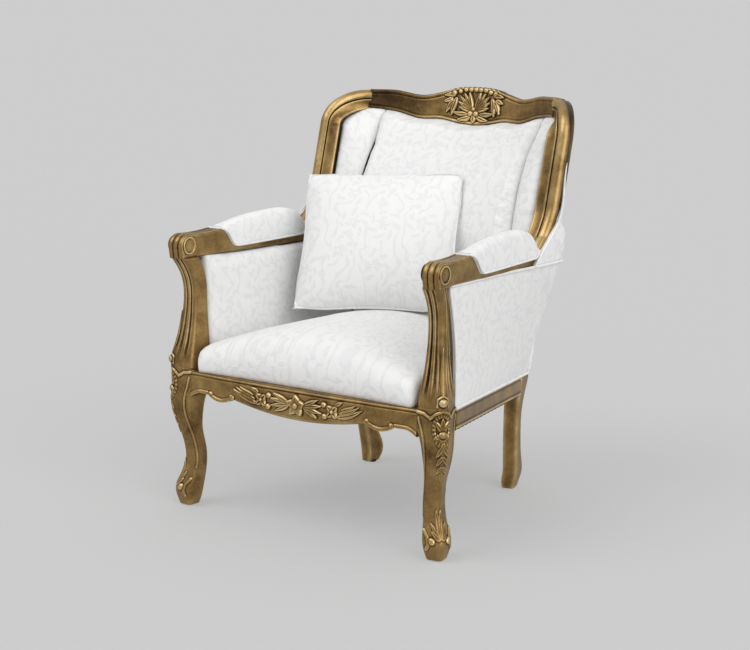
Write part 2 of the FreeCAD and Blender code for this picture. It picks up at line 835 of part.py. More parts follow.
def both_sides(items):
    return items + [mirrored(item.Name + "_mirror", item) for item in items]


def pair_of_levels(low, high):
    third = (high - low) / 3
    return (low + third * 0.9, low + third * 2.1)


half_rail = size("rail_thickness") / 2
front_joint = corner + Vector(-size("leg_block") - half_rail * math.tan(splay), half_rail, 0)
front_dowels = [front_joint + UP * z for z in pair_of_levels(block_low, size("rail_top_front"))]
leg_run = size("leg_block") + half_rail * math.tan(splay)
leg_levels = pair_of_levels(block_low, rail_top(side_line(leg_run).y))
leg_dowels = [side_line(leg_run, half_rail, z) for z in leg_levels]
stile_levels = pair_of_levels(stile_rail_top - size("rail_height"), stile_rail_top)
stile_dowels = [side_line(stile_run, half_rail, z) for z in stile_levels]
rear_run = stile_run + size("stile_block") - half_rail
rear_levels = pair_of_levels(stile_rail_top - size("rail_height"), stile_rail_top)
rear_dowels = [stile_point(rear_run, size("stile_thickness"), z) for z in rear_levels]
across = Vector(1, 0, 0)

half_diagonal = math.cos(half_corner)
post_waist_middle = post_waist - diagonal * (size("post_waist") * half_diagonal)
post_top_middle = post_top - diagonal * (size("post_top") * half_diagonal)
post_foot_dowel = corner - diagonal * (size("leg_block") * half_diagonal) + UP * block_top
post_head_dowel = (post_waist_middle + post_top_middle) * 0.5 + UP * size("arm_under_front")
wing_spread = Vector(size("wing_face") / 4, 0, 0)
wing_foot = wing_middle(size("arm_rear_height")) - Vector(0, wing_toe, 0)
wing_dowels = [wing_foot + wing_spread, wing_foot - wing_spread]
crest_spread = crest_lean.multVec(UP) * (size("crest_end_height") * 0.22)
crest_dowels = [crest_joint() + crest_spread, crest_joint() - crest_spread]


def holes(points, axis):
    return [dowel_hole(point, axis) for point in points]


def dowels(points, axis):
    return both_sides([dowel(point, axis) for point in points])


# Corner blocks, notched round the legs, each with a screw into its leg

def front_block_outline():
    back = corner.y + size("rail_thickness")
    reach = size("block_reach")
    start = corner - diagonal * reach
    on_front = start + lateral * ((back - start.y) / lateral.y)
    outward = inward * -1
    gap = -size("rail_thickness") - (start - corner).dot(outward)
    on_side = start + lateral * (gap / lateral.dot(outward))
    leg_inner = side_line(size("leg_block")) - Vector(size("leg_block"), 0, 0)
    face_end = corner - Vector(size("leg_block") + size("rail_thickness") * math.tan(splay), 0, 0)
    leg_back = corner.y + size("leg_block") * math.cos(splay)
    run = (leg_back - corner.y + size("rail_thickness") * math.sin(splay)) / math.cos(splay)
    rail_inner = side_line(run, size("rail_thickness"))
    return [on_front, Vector(face_end.x, back, 0), leg_inner, rail_inner, on_side]


def rear_block_outline():
    room = size("clearance")
    near = side_line(stile_run - size("block_side"), size("rail_thickness"))
    against = side_line(stile_run - room, size("rail_thickness"))
    notch_depth = size("stile_thickness") + size("block_height") * math.tan(cant) + room
    notch = side_line(stile_run - room, notch_depth)
    rear_face = stile_point(rear_run - half_rail, size("stile_thickness"), flush_height).y - 1
    run = (rear_face - corner.y + notch_depth * math.sin(splay)) / math.cos(splay)
    notch_rear = side_line(run, notch_depth)
    return [near, against, notch, notch_rear, Vector(notch_rear.x - size("block_side") * 0.8, rear_face, 0)]


def corner_block(name, outline, low):
    face = sketch(name + "_outline", polyline(outline), UP * low)
    return extrusion(name + "_solid", face, "Sizes.block_height")


def screw_parts(inner_face, level):
    """The screw that goes through a block's inner face at a right angle, and the hole for it."""
    start = (inner_face[0] + inner_face[1]) * 0.5 + UP * level
    run = inner_face[1] - inner_face[0]
    axis = Vector(run.y, -run.x, 0).normalize()
    middle = start + axis * (size("screw_length") / 2)
    head_middle = start - axis * (size("screw_radius") / 2)
    room = "Sizes.screw_radius + Sizes.dowel_fit"
    shank = cylinder("screw_shank", middle, axis, "Sizes.screw_radius", "Sizes.screw_length")
    head = cylinder("screw_head", head_middle, axis, "Sizes.screw_head", "Sizes.screw_radius")
    hole = cylinder("screw_hole", middle, axis, room, "Sizes.screw_length + 2")
    return fuse("screw", [shank, head]), hole


front_block_points = front_block_outline()
rear_block_points = rear_block_outline()
front_block_low = block_low + 2
rear_block_low = stile_rail_top - size("rail_height") / 2 - size("block_height") / 2
half_block = size("block_height") / 2
front_screw, front_screw_hole = screw_parts(
    (front_block_points[0], front_block_points[-1]), front_block_low + half_block)
rear_screw, rear_screw_hole = screw_parts(
    (rear_block_points[0], rear_block_points[-1]), rear_block_low + half_block)
front_sawn = corner_block("front_block", front_block_points, front_block_low)
front_block = cut("front_block", front_sawn, [front_screw_hole])
rear_sawn = corner_block("rear_block", rear_block_points, rear_block_low)
rear_block = cut("rear_block", rear_sawn, [rear_screw_hole])

# Frame pieces with their holes

rail_blank = side_rail()
leg_blank = front_leg()
crest_blank = crest_rail()
wing_blank = wing_stile()
right_leg = cut("front_leg_drilled", leg_blank, [
    *holes(front_dowels, across),
    *holes(leg_dowels, along),
    *holes([post_foot_dowel], UP),
    front_screw_hole,
])
right_rail = cut("side_rail_drilled", rail_blank, [
    leg_blank,
    *holes(leg_dowels, along),
    *holes(stile_dowels, along),
])
right_stile = cut("rear_stile_drilled", rear_stile(), [
    crest_blank,
    wing_blank,
    *holes(stile_dowels, along),
    *holes(rear_dowels, across),
    rear_screw_hole,
])
right_post = cut("arm_post_drilled", arm_post(), holes([post_foot_dowel, post_head_dowel], UP))
right_arm = cut("arm_drilled", arm(), holes([post_head_dowel, *wing_dowels], UP))
right_wing = cut("wing_stile_drilled", wing_blank, [
    *holes(wing_dowels, UP),
    *holes(crest_dowels, crest_tangent),
])
keep("front_rail", cut("front_rail_drilled", front_rail(), both_sides(holes(front_dowels, across))))
keep("rear_rail", cut("rear_rail_drilled", rear_rail(), both_sides(holes(rear_dowels, across))))
keep("crest_rail", cut("crest_drilled", crest_blank, both_sides(holes(crest_dowels, crest_tangent))))
keep_pair("side_rail", right_rail)
keep_pair("front_leg", right_leg)
keep_pair("rear_stile", right_stile)
keep_pair("arm_post", right_post)
keep_pair("arm", right_arm)
keep_pair("wing_stile", right_wing)
keep("rail_dowels", group("rail_dowel_set", [
    *dowels(front_dowels, across),
    *dowels(leg_dowels, along),
    *dowels(stile_dowels, along),
    *dowels(rear_dowels, across),
]))
keep("arm_and_crest_dowels", group("arm_dowel_set", [
    *dowels([post_foot_dowel, post_head_dowel, *wing_dowels], UP),
    *dowels(crest_dowels, crest_tangent),
]))
keep("corner_blocks", group("corner_block_set", both_sides([front_block, rear_block])))
keep("corner_block_screws", group("screw_set", both_sides([front_screw, rear_screw])))


def foot_glide(middle):
    item = doc.addObject("Part::Cone", "foot_glide")
    item.setExpression("Radius1", "Sizes.glide_radius * 0.85")
    item.setExpression("Radius2", "Sizes.glide_radius")
    item.setExpression("Height", "Sizes.glide_height")
    item.Placement = Placement(middle, PLAN)
    return item


rear_foot_run = stile_run + size("stile_block") - 3 - size("stile_depth") / 2
rear_foot = stile_point(rear_foot_run, size("stile_thickness") / 2, 0)
front_foot = Vector(size("foot_x"), front + size("foot_setback"), 0)
keep("foot_glides", group("glide_set", both_sides([foot_glide(front_foot), foot_glide(rear_foot)])))


# Stay rails, to which the inside covers are fixed

def wall(y, level, depth):
    """A point of the arm's side wall, depth inside its outer face."""
    low = rail_top(y)
    share = (level - low) / (arm_under(y) - low)
    bottom = corner.x - (y - corner.y) * math.tan(splay)
    top = arm_x(y) + size("arm_width") * 0.4
    return Vector(bottom + (top - bottom) * share - depth, y, level)


stay_set = 5


def back_stay_rail():
    low = size("back_stay_low")
    run = stile_run + stile_back(low) - size("stile_depth") + stay_set
    sections = []
    for level in (low, low + size("stay_height")):
        near = stile_point(run, size("stile_thickness"), level)
        far = stile_point(run + size("rail_thickness"), size("stile_thickness"), level)
        sections.append(wire("back_stay_section", polyline([near, far, flipped(far), flipped(near)])))
    return loft("back_stay_loft", sections, ruled=True)


wall_front = corner.y + size("leg_block") * math.cos(splay) + size("clearance")
wall_rear = side_line(stile_run, size("stile_thickness")).y - size("clearance")


def arm_stay_rail():
    outer = size("panel_inset") + size("panel") + 2
    sections = []
    for y in (wall_front, wall_rear):
        low = rail_top(y) + size("stay_height") * 0.75
        high = low + size("stay_height") * 0.6
        inner = outer + size("stay_thickness")
        corners = [wall(y, low, outer), wall(y, high, outer), wall(y, high, inner), wall(y, low, inner)]
        sections.append(wire("arm_stay_section", polyline(corners)))
    return loft("arm_stay_loft", sections, ruled=True)


keep("back_stay_rail", back_stay_rail())
keep_pair("arm_stay_rail", cut("arm_stay_fitted", arm_stay_rail(), [right_post, right_stile]))

# Seat: webbing on the rails, hessian, foam and cover

def on_rails(x, y, above):
    return Vector(x, y, rail_top(y) + above)


def strip(name, corners, thickness):
    """A flat band whose lower face has these corners."""
    top = [point + UP * thickness for point in corners]
    sections = [wire(name + "_low", polyline(corners)), wire(name + "_top", polyline(top))]
    return loft(name + "_loft", sections, ruled=True)


def seat_side(y, depth):
    return corner.x - (y - corner.y) * math.tan(splay) - depth / math.cos(splay)


web = size("webbing_thickness")
half_web = size("webbing_width") / 2
web_depth = size("panel_inset") + size("panel") + 2
web_front = corner.y + half_rail
web_rear = stile_point(rear_run, 0, flush_height).y


def cross_webbing():
    count = 6
    bands = []
    first = corner.y + size("leg_block") + half_web + 10
    last = side_line(stile_run).y - half_web - 15
    for i in range(count):
        y = first + (last - first) * i / (count - 1)
        ends = [(y - half_web, 1), (y + half_web, 1), (y + half_web, -1), (y - half_web, -1)]
        corners = [on_rails(side * seat_side(at, web_depth), at, 0) for at, side in ends]
        bands.append(strip("cross_webbing", corners, web))
    return group("cross_webbing_set", bands)


def long_webbing():
    pitch = size("webbing_width") * 1.7
    bands = []
    for i in (-2, -1, 0, 1, 2):
        x = i * pitch
        corners = [
            on_rails(x - half_web, web_front, web),
            on_rails(x + half_web, web_front, web),
            on_rails(x * 0.85 + half_web, web_rear, web),
            on_rails(x * 0.85 - half_web, web_rear, web),
        ]
        bands.append(strip("long_webbing", corners, web))
    return group("long_webbing_set", bands)


seat_depth = size("arm_core") + size("arm_padding") + 1.5
seat_front = corner.y + 2
seat_end = corner.y + size("seat_rear")
seat_floor = 2 * web + size("hessian") + size("clearance")


def seat_half(y):
    return min(size("seat_half_front"), seat_side(y, seat_depth))


def hessian():
    rows = [seat_front + 8, seat_front + size("seat_rear") * 0.37, seat_end]
    right = [on_rails(seat_half(y) - 2, y, 2 * web) for y in rows]
    return strip("hessian", right + [flipped(p) for p in reversed(right)], size("hessian"))


def seat_form(name, inset, floor_drop=0.0):
    """The domed seat, or the same form inset by the cover."""
    length = seat_end - seat_front
    # share of the seat's depth, fall of its edges and of its crown there
    stations = [
        (0, 26, 74), (0.02, 8, 44), (0.09, 0, 16), (0.27, 0, 0), (0.62, 0, 0), (0.9, 0, 8), (1, 0, 14),
    ]
    sections = []
    for share, edge_fall, crown_fall in between(stations, 2):
        y = seat_front + inset + share * (length - 2 * inset)
        half = seat_half(y) - inset
        low = rail_top(y) + seat_floor - floor_drop
        edge = size("seat_edge") - edge_fall - inset - fall * (y - seat_front) * 0.5
        crown = size("seat_crown") - crown_fall - inset
        corners = [Vector(-half, y, low), Vector(half, y, low), Vector(half, y, edge), Vector(-half, y, edge)]
        sections.append(wire(name + "_section", chorded([
            Part.LineSegment(corners[0], corners[1]),
            Part.LineSegment(corners[1], corners[2]),
            Part.Arc(corners[2], Vector(0, y, crown), corners[3]),
            Part.LineSegment(corners[3], corners[0]),
        ], 14)))
    return loft(name, sections, ruled=True)


keep("seat_webbing_cross", cross_webbing())
keep("seat_webbing_long", long_webbing())
keep("seat_hessian", hessian())
keep("seat_foam", seat_form("seat_foam_form", size("cover") + size("clearance")))
hollow_seat = seat_form("seat_hollow", size("cover"), floor_drop=size("cover"))
keep("seat_cover", cut("seat_cover_skin", seat_form("seat_form", 0.0), [hollow_seat]))


def dust_cover():
    below = -size("rail_height") - size("dust_cover") - 1
    behind_front = corner.y + size("rail_thickness") + size("clearance")
    behind_legs = corner.y + size("leg_block") * math.cos(splay) + size("clearance")
    leg_x = side_line(size("leg_block")).x - size("leg_block") - 4
    rear = side_line(stile_run).y - size("clearance") - 12
    inset = size("panel_inset")
    right = [
        on_rails(leg_x, behind_front, below),
        on_rails(leg_x, behind_legs + 2, below),
        on_rails(seat_side(behind_legs + 2, inset), behind_legs + 2, below),
        on_rails(seat_side(rear, inset), rear, below),
    ]
    return strip("dust_cover", right + [flipped(p) for p in reversed(right)], size("dust_cover"))


keep("dust_cover", cut("dust_cover_fitted", dust_cover(), both_sides([right_leg])))

# Back: webbing from the stay rail to the crest, foam and cover

back_low = size("back_stay_low")
web_low = back_low + size("stay_height") - 6
stay_face = stile_run + stile_back(back_low) - size("stile_depth") + stay_set
web_start = stile_point(stay_face, size("stile_thickness"), web_low) - Vector(0, web + 2.5, 0)


def crest_under(x):
    """A point under the crest, a third of its thickness behind the front face."""
    radius = size("crest_radius") + size("crest_thickness") / 3
    local = crest_arc(radius, math.asin(x / radius))
    edge = crest_bottom_edge()
    local.z = edge.value(edge.parameter(Vector(x, -40, 0))).y - 6
    return crest_place.multVec(local)


def back_webbing():
    bands = []
    for share in (-0.75, -0.25, 0.25, 0.75):
        x = share * size("back_half_width")
        foot = Vector(x, web_start.y, web_start.z)
        head = crest_under(x)
        side = Vector(half_web * 0.8, 0, 0)
        corners = [foot - side, foot + side, head + side, head - side]
        back = [point + Vector(0, web, 0) for point in corners]
        sections = [wire("back_web_front", polyline(corners)), wire("back_web_rear", polyline(back))]
        bands.append(loft("back_web_loft", sections, ruled=True))
    return group("back_webbing_set", bands)


def above_crest_edge():
    """Everything above the crest's lower edge, to shape the tops of the pads under it."""
    low = crest_bottom_edge(clear=size("clearance"))
    reach = size("overall_height")
    top = [Vector(low.EndPoint.x, reach), Vector(low.StartPoint.x, reach)]
    outline = [
        low,
        Part.LineSegment(low.EndPoint, top[0]),
        Part.LineSegment(top[0], top[1]),
        Part.LineSegment(top[1], low.StartPoint),
    ]
    face = sketch("crest_room_outline", outline, crest_base, crest_lean.multiply(ELEVATION))
    return extrusion("crest_room", face, "Sizes.overall_depth * 2", both_ways=True)


back_top = crest_base.z + 10
seat_line = seat_end + size("clearance") + 1


def back_form(name, inset, rear=0.0, overrun=0.0):
    """The inside back, or the same form inset by the cover, with more at the rear and the ends."""
    half = size("back_half_width") - inset
    low = back_low + 2 - overrun
    high = back_top + overrun
    # share of the height, front face behind the seat's rear at the middle, its hollow at the sides
    stations = [
        (0, 2, 1), (0.13, 0, 1), (0.36, -7, 4), (0.5, 14, 14), (0.66, 58, 25), (0.86, 152, 40), (1, 226, 48),
    ]
    sections = []
    narrower = (half / size("back_half_width")) ** 2
    for share, out, hollow in between(stations, 2):
        level = low + share * (high - low)
        middle = seat_line + out + inset
        ends = middle - hollow * narrower
        lean = 0.34 if level > web_start.z else 0.1
        rear_middle = web_start.y - 4 + (level - web_start.z) * lean + rear
        rear_ends = max(rear_middle - (level - low) * 0.115 - 5, ends + 4 * size("cover"))
        front_left = Vector(-half, ends, level)
        front_right = Vector(half, ends, level)
        rear_left = Vector(-half, rear_ends, level)
        rear_right = Vector(half, rear_ends, level)
        sections.append(wire(name + "_section", chorded([
            Part.Arc(front_left, Vector(0, middle, level), front_right),
            Part.LineSegment(front_right, rear_right),
            Part.Arc(rear_right, Vector(0, rear_middle, level), rear_left),
            Part.LineSegment(rear_left, front_left),
        ], 12)))
    return loft(name, sections, ruled=True)


crest_room = above_crest_edge()
skin = size("cover") + size("clearance")
keep("back_webbing", back_webbing())
back_room = back_form("back_room", 0.0)
back_tools = [crest_room, nodes["back_stay_rail"]]
back_hollow = back_form("back_hollow", size("cover"), rear=40, overrun=0.5)
foam_form = back_form("back_foam_form", size("cover") + size("wadding"))
keep("back_foam", fitted("back_foam_fitted", foam_form, back_tools))
keep("back_cover", cut("back_cover_fitted", back_room, [back_hollow, crest_room]))


# Outside covers, each on its backing

def set_in(points, distance):
    """The same line, moved toward the middle of the chair."""
    moved = []
    for i, point in enumerate(points):
        run = points[min(i + 1, len(points) - 1)] - points[max(i - 1, 0)]
        moved.append(point + Vector(-run.y, run.x, 0).normalize() * distance)
    return moved


def shell(name, lines, levels):
    """A panel between a lower and an upper line of its outer face, on two levels given over y."""
    sections = []
    for line, level in zip(lines, levels):
        outline = line + list(reversed(set_in(line, size("panel"))))
        corners = [Vector(point.x, point.y, level(point.y)) for point in outline]
        sections.append(wire(name + "_section", polyline(corners)))
    return loft(name, sections, ruled=True)


wall_run = size("side_rail_length")
wall_marks = [wall_front, corner.y + wall_run * 0.586, corner.y + wall_run * 0.9, arm_rear - 20]
wing_corner = stile_point(stile_run + stile_back(arm_under(arm_rear)) - 2, 3, arm_under(arm_rear))


def outside_arm():
    inset = size("panel_inset")
    room = size("clearance")
    low_line = [wall(y, rail_top(y), inset) for y in wall_marks]
    rear_low = side_line(stile_run + size("stile_block") - 1, inset)
    low_line += [(low_line[-1] + rear_low) * 0.5, rear_low]
    high_line = [wall(y, arm_under(y), inset) for y in wall_marks]
    high_line += [(high_line[-1] + wing_corner) * 0.5 + Vector(7, 7, 0), wing_corner]
    levels = (lambda y: rail_top(y) + room, lambda y: arm_under(y) - room)
    return shell("outside_arm_shell", (low_line, high_line), levels)


def outside_wing():
    level = arm_under(arm_rear) + size("clearance")
    behind_arm = Vector(arm_x(arm_rear) + size("arm_rear_width") * 0.3, arm_rear + 2, 0)
    high = stile_top - size("crest_end_height") * 0.4
    side_top = wing_middle(high) + Vector(size("wing_face") * 0.1, size("wing_depth") * 0.5, 0)
    back_top_corner = stile_point(stile_run + stile_back(high) - 2, 3, high)
    lines = ([behind_arm, wing_corner], [side_top, back_top_corner])
    return shell("outside_wing_shell", lines, (lambda y: level, lambda y: high))


def outside_back():
    low = rebate_low + 4
    low_half = stile_point(stile_run, 4, low).x - size("panel")
    low_y = stile_point(stile_run + stile_back(low) + 2, size("panel_rebate"), low).y + 4
    high = crest_base.z
    high_half = size("crest_radius") * math.sin(crest_end) + 10
    behind = stile_point(stile_run + stile_back(high) + 3, size("panel_rebate"), high).y + 8
    middle = crest_base.y + size("crest_thickness") * 0.6
    sections = []
    for level, half, ends, centre in ((low, low_half, low_y, low_y + 6), (high, high_half, behind, middle)):
        thick = Vector(0, size("panel"), 0)
        right = Vector(half, ends, level)
        far = Vector(0, centre, level)
        sections.append(wire("outside_back_section", [
            Part.Arc(flipped(right), far, right),
            Part.LineSegment(right, right + thick),
            Part.Arc(right + thick, far + thick, flipped(right) + thick),
            Part.LineSegment(flipped(right) + thick, flipped(right)),
        ]))
    return loft("outside_back_shell", sections, ruled=True)


right_outside_arm = fitted("outside_arm_fitted", outside_arm(), [right_stile, right_post, right_leg])
back_panel_tools = [crest_room, *both_sides([right_stile, right_wing])]
back_panel = fitted("outside_back_fitted", outside_back(), back_panel_tools)
wing_tools = [right_wing, right_arm, right_stile, crest_blank, back_panel]
right_outside_wing = fitted("outside_wing_fitted", outside_wing(), wing_tools)
keep("outside_back", back_panel)
keep_pair("outside_arm", right_outside_arm)
keep_pair("outside_wing", right_outside_wing)


# Inside arms, wing pads and arm pads

def inside_arm():
    near = size("arm_core")
    far = near + size("arm_padding")
    room = size("clearance")
    marks = wall_marks[:3]
    stile_front = side_line(stile_run, size("stile_thickness"))
    rear_y = stile_front.y - 3
    low = [wall(y, rail_top(y), near) for y in [*marks, rear_y]]
    low += [wall(y, rail_top(y), far) for y in [rear_y, *reversed(marks)]]
    low = [point + UP * (room + web) for point in low]
    post_face = stile_run + stile_back(arm_under(arm_rear)) - size("stile_depth") - 8
    rear_outer = stile_point(post_face, size("stile_thickness") * 0.8, arm_under(arm_rear))
    rear_inner = Vector(size("back_half_width") + 2, rear_outer.y - 36, 0)
    high = [wall(y, arm_under(y), near) for y in marks]
    high += [rear_outer, rear_inner]
    high += [wall(y, arm_under(y), far) for y in reversed(marks)]
    high = [Vector(point.x, point.y, arm_under(point.y) - room) for point in high]
    sections = [wire("inside_arm_low", polyline(low)), wire("inside_arm_high", polyline(high))]
    return loft("inside_arm_loft", sections, ruled=True)


def wing_pad():
    level = arm_under(arm_rear) + size("clearance")
    high = stile_top - 5
    gap = size("panel") + 1
    half = size("back_half_width") - 6
    inner_low = wing_middle(level) - Vector(size("wing_face") * 0.55, -10, 0)
    inner_high = wing_middle(high) - Vector(size("wing_face") * 0.55, 2, 0)
    low = [
        inner_low,
        Vector(wing_corner.x + 52 - gap, arm_rear + 4, level),
        Vector(wing_corner.x - gap, wing_corner.y - gap, level),
        Vector(half, seat_line + 62, level),
    ]
    back_corner = stile_point(stile_run + stile_back(high) - 2, size("panel_rebate"), high)
    upper = [
        inner_high,
        wing_middle(high) + Vector(-gap, size("wing_depth") * 0.4, 0),
        Vector(back_corner.x - gap, back_corner.y - 2, high),
        Vector(half, back_corner.y - 6, high),
    ]
    sections = [wire("wing_pad_low", polyline(low)), wire("wing_pad_high", polyline(upper))]
    return loft("wing_pad_loft", sections, ruled=True)


def arm_pad():
    # share of the pad's length, of its width and of its height
    stations = [
        (0, 0.66, 0.12), (0.1, 0.92, 0.54), (0.34, 1, 0.92), (0.6, 1, 1), (0.86, 0.96, 0.72), (1, 0.76, 0.14),
    ]
    base = size("arm_seat_height") + size("clearance")
    sections = []
    for share, wide, high in between(stations, 2):
        y = pad_front + 3 + share * (pad_rear - pad_front - 6)
        half = size("arm_pad_width") / 2 * wide
        rise = size("arm_pad_crown") * high
        def at(across_share, up_share):
            return Vector(arm_x(y) + half * across_share, y, base + rise * up_share)
        dome = curve([at(1, 0), at(0.94, 0.6), at(0, 1), at(-0.94, 0.6), at(-1, 0)])
        sections.append(wire("arm_pad_section", chorded([dome, Part.LineSegment(at(-1, 0), at(1, 0))], 12)))
    return loft("arm_pad_loft", sections, ruled=True)


right_inside_arm = fitted("inside_arm_fitted", inside_arm(), [
    back_room, right_post, right_stile, right_outside_arm,
    nodes["arm_stay_rail_right"], nodes["back_stay_rail"],
])
keep_pair("inside_arm", right_inside_arm)
keep_pair("wing_pad", fitted("wing_pad_fitted", wing_pad(), [
    back_room, right_wing, right_arm, right_stile, crest_room,
    right_outside_wing, back_panel, right_inside_arm,
]))
keep_pair("arm_pad", cut("arm_pad_fitted", arm_pad(), [right_arm]))

# Throw pillow, leaning on the back

pillow_sink = 1.7
pillow_level = size("seat_crown") - pillow_sink
pillow_foot = Vector(-size("pillow_side"), corner.y + size("pillow_set"), pillow_level)
pillow_turn = Rotation(UP, size("pillow_turn"))
pillow_recline = Rotation(Vector(1, 0, 0), -size("pillow_lean"))
pillow_tilt = Rotation(Vector(0, 1, 0), size("pillow_tip")).multiply(pillow_recline)


def pillow_form(name, inset, parts=1):
    """A lens-shaped pillow, or the same form inset by its cover."""
    place = Placement(pillow_foot, pillow_turn.multiply(pillow_tilt))
    half = size("pillow_width") / 2 - inset
    # share of the half width, and of the thickness there
    stations = [(-1, 0.08), (-0.8, 0.38), (-0.4, 0.78), (0, 1), (0.4, 0.78), (0.8, 0.38), (1, 0.08)]
    sections = []
    for share, full in between(stations, parts):
        low = inset * 1.6
        high = size("pillow_height") - inset * 1.6
        bulge = max(size("pillow_thickness") / 2 * full - inset, 1)
        middle = (low + high) / 2
        x = share * half
        foot = Vector(x, 0, low)
        head = Vector(x, 0, high)
        front_arc = Part.Arc(foot, Vector(x, -bulge, middle), head)
        rear_arc = Part.Arc(head, Vector(x, bulge, middle), foot)
        item = wire(name + "_section", chorded([front_arc, rear_arc], 12))
        item.Placement = place
        sections.append(item)
    return loft(name, sections, ruled=True)


keep("pillow_filling", pillow_form("pillow_filling_form", skin))
pillow_hollow = pillow_form("pillow_hollow", size("cover"))
keep("pillow_cover", cut("pillow_skin", pillow_form("pillow_form", 0.0, parts=2), [pillow_hollow]))


# Check every piece and write it

doc.recompute()
for item in doc.Objects:
    if "Invalid" in item.State or "Error" in item.State:
        raise RuntimeError(f"{item.Label} failed: {item.State}")
for label, item in nodes.items():
    if item.Shape.isNull() or not item.Shape.isValid():
        raise RuntimeError(f"{label} has no valid shape")
os.makedirs("parts", exist_ok=True)
for label, item in nodes.items():
    item.Shape.exportStep(f"parts/{label}.step")
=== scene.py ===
import json
import math

import bmesh
import bpy
import numpy as np
from mathutils import Matrix, Vector


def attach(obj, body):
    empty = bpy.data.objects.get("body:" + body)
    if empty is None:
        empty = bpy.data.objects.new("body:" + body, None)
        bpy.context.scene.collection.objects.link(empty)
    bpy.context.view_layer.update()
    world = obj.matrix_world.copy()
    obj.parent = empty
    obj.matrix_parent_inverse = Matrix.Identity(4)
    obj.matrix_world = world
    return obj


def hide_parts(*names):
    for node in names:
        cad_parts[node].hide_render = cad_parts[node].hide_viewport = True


# The looks of the carved armchair. Lengths are millimetres in the mesh code and metres in Blender.

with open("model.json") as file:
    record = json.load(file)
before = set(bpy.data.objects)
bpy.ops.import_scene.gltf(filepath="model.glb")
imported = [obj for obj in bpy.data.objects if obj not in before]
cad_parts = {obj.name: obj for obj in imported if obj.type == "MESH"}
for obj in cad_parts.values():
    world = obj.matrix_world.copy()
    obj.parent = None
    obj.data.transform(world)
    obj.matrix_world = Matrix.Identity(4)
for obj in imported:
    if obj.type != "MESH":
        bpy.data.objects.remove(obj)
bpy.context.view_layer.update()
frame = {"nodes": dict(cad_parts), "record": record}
nodes = frame["nodes"]
MM = 0.001


# Materials

def tools(tree):
    """Short ways to add, feed and join the nodes of a tree."""
    def feed(node, inputs):
        for key, value in inputs.items():
            if isinstance(value, bpy.types.NodeSocket):
                tree.links.new(value, node.inputs[key])
            else:
                node.inputs[key].default_value = value

    def add(kind, inputs=None, **settings):
        node = tree.nodes.new("ShaderNode" + kind)
        for key, value in settings.items():
            setattr(node, key, value)
        feed(node, inputs or {})
        return node

    def ramp(value, stops):
        node = add("ValToRGB", {0: value})
        while len(node.color_ramp.elements) < len(stops):
            node.color_ramp.elements.new(0.5)
        for element, (place, colour) in zip(node.color_ramp.elements, stops):
            element.position, element.color = place, (*colour, 1)
        return node.outputs[0]

    def maths(operation, first, second=0.0, third=0.0, clamp=False):
        inputs = {0: first, 1: second, 2: third}
        return add("Math", inputs, operation=operation, use_clamp=clamp).outputs[0]

    return feed, add, ramp, maths


def shader(name):
    material = bpy.data.materials.new(name)
    material.use_nodes = True
    tree = material.node_tree
    return material, tree.nodes["Principled BSDF"], *tools(tree)


def gilt():
    """Rubbed bronze gilding: dark in the hollows, dirt with painted shade; pale on the rubbed edges, wear
    with a painted highlight; blotchy between.
    """
    material, surface, feed, add, ramp, maths = shader("gilt")
    place = add("TexCoord").outputs["Object"]
    relief = add("Attribute", attribute_name="relief").outputs["Fac"]
    blotch = add("TexNoise", {"Vector": place, "Scale": 16, "Detail": 5, "Roughness": 0.62}).outputs[0]
    brush = add("TexNoise", {"Vector": place, "Scale": 190, "Detail": 3}).outputs[0]
    wide = maths("MULTIPLY_ADD", blotch, 0.9, -0.45)
    fine = maths("MULTIPLY_ADD", brush, 0.22, -0.11)
    tone = maths("MULTIPLY_ADD", relief, 0.58, 0.5)
    tone = maths("ADD", maths("ADD", tone, wide), fine, clamp=True)
    colour = ramp(tone, [
        (0.0, (0.018, 0.009, 0.003)),
        (0.28, (0.095, 0.052, 0.016)),
        (0.5, (0.27, 0.165, 0.055)),
        (0.7, (0.42, 0.28, 0.105)),
        (1.0, (0.72, 0.55, 0.29)),
    ])
    rough = add("MapRange", {0: blotch, 1: 0.3, 2: 0.7, 3: 0.26, 4: 0.44}).outputs[0]
    bump = add("Bump", {"Height": brush, "Strength": 0.22, "Distance": 0.0006}).outputs[0]
    feed(surface, {"Base Color": colour, "Roughness": rough, "Metallic": 0.75, "Normal": bump})
    return material


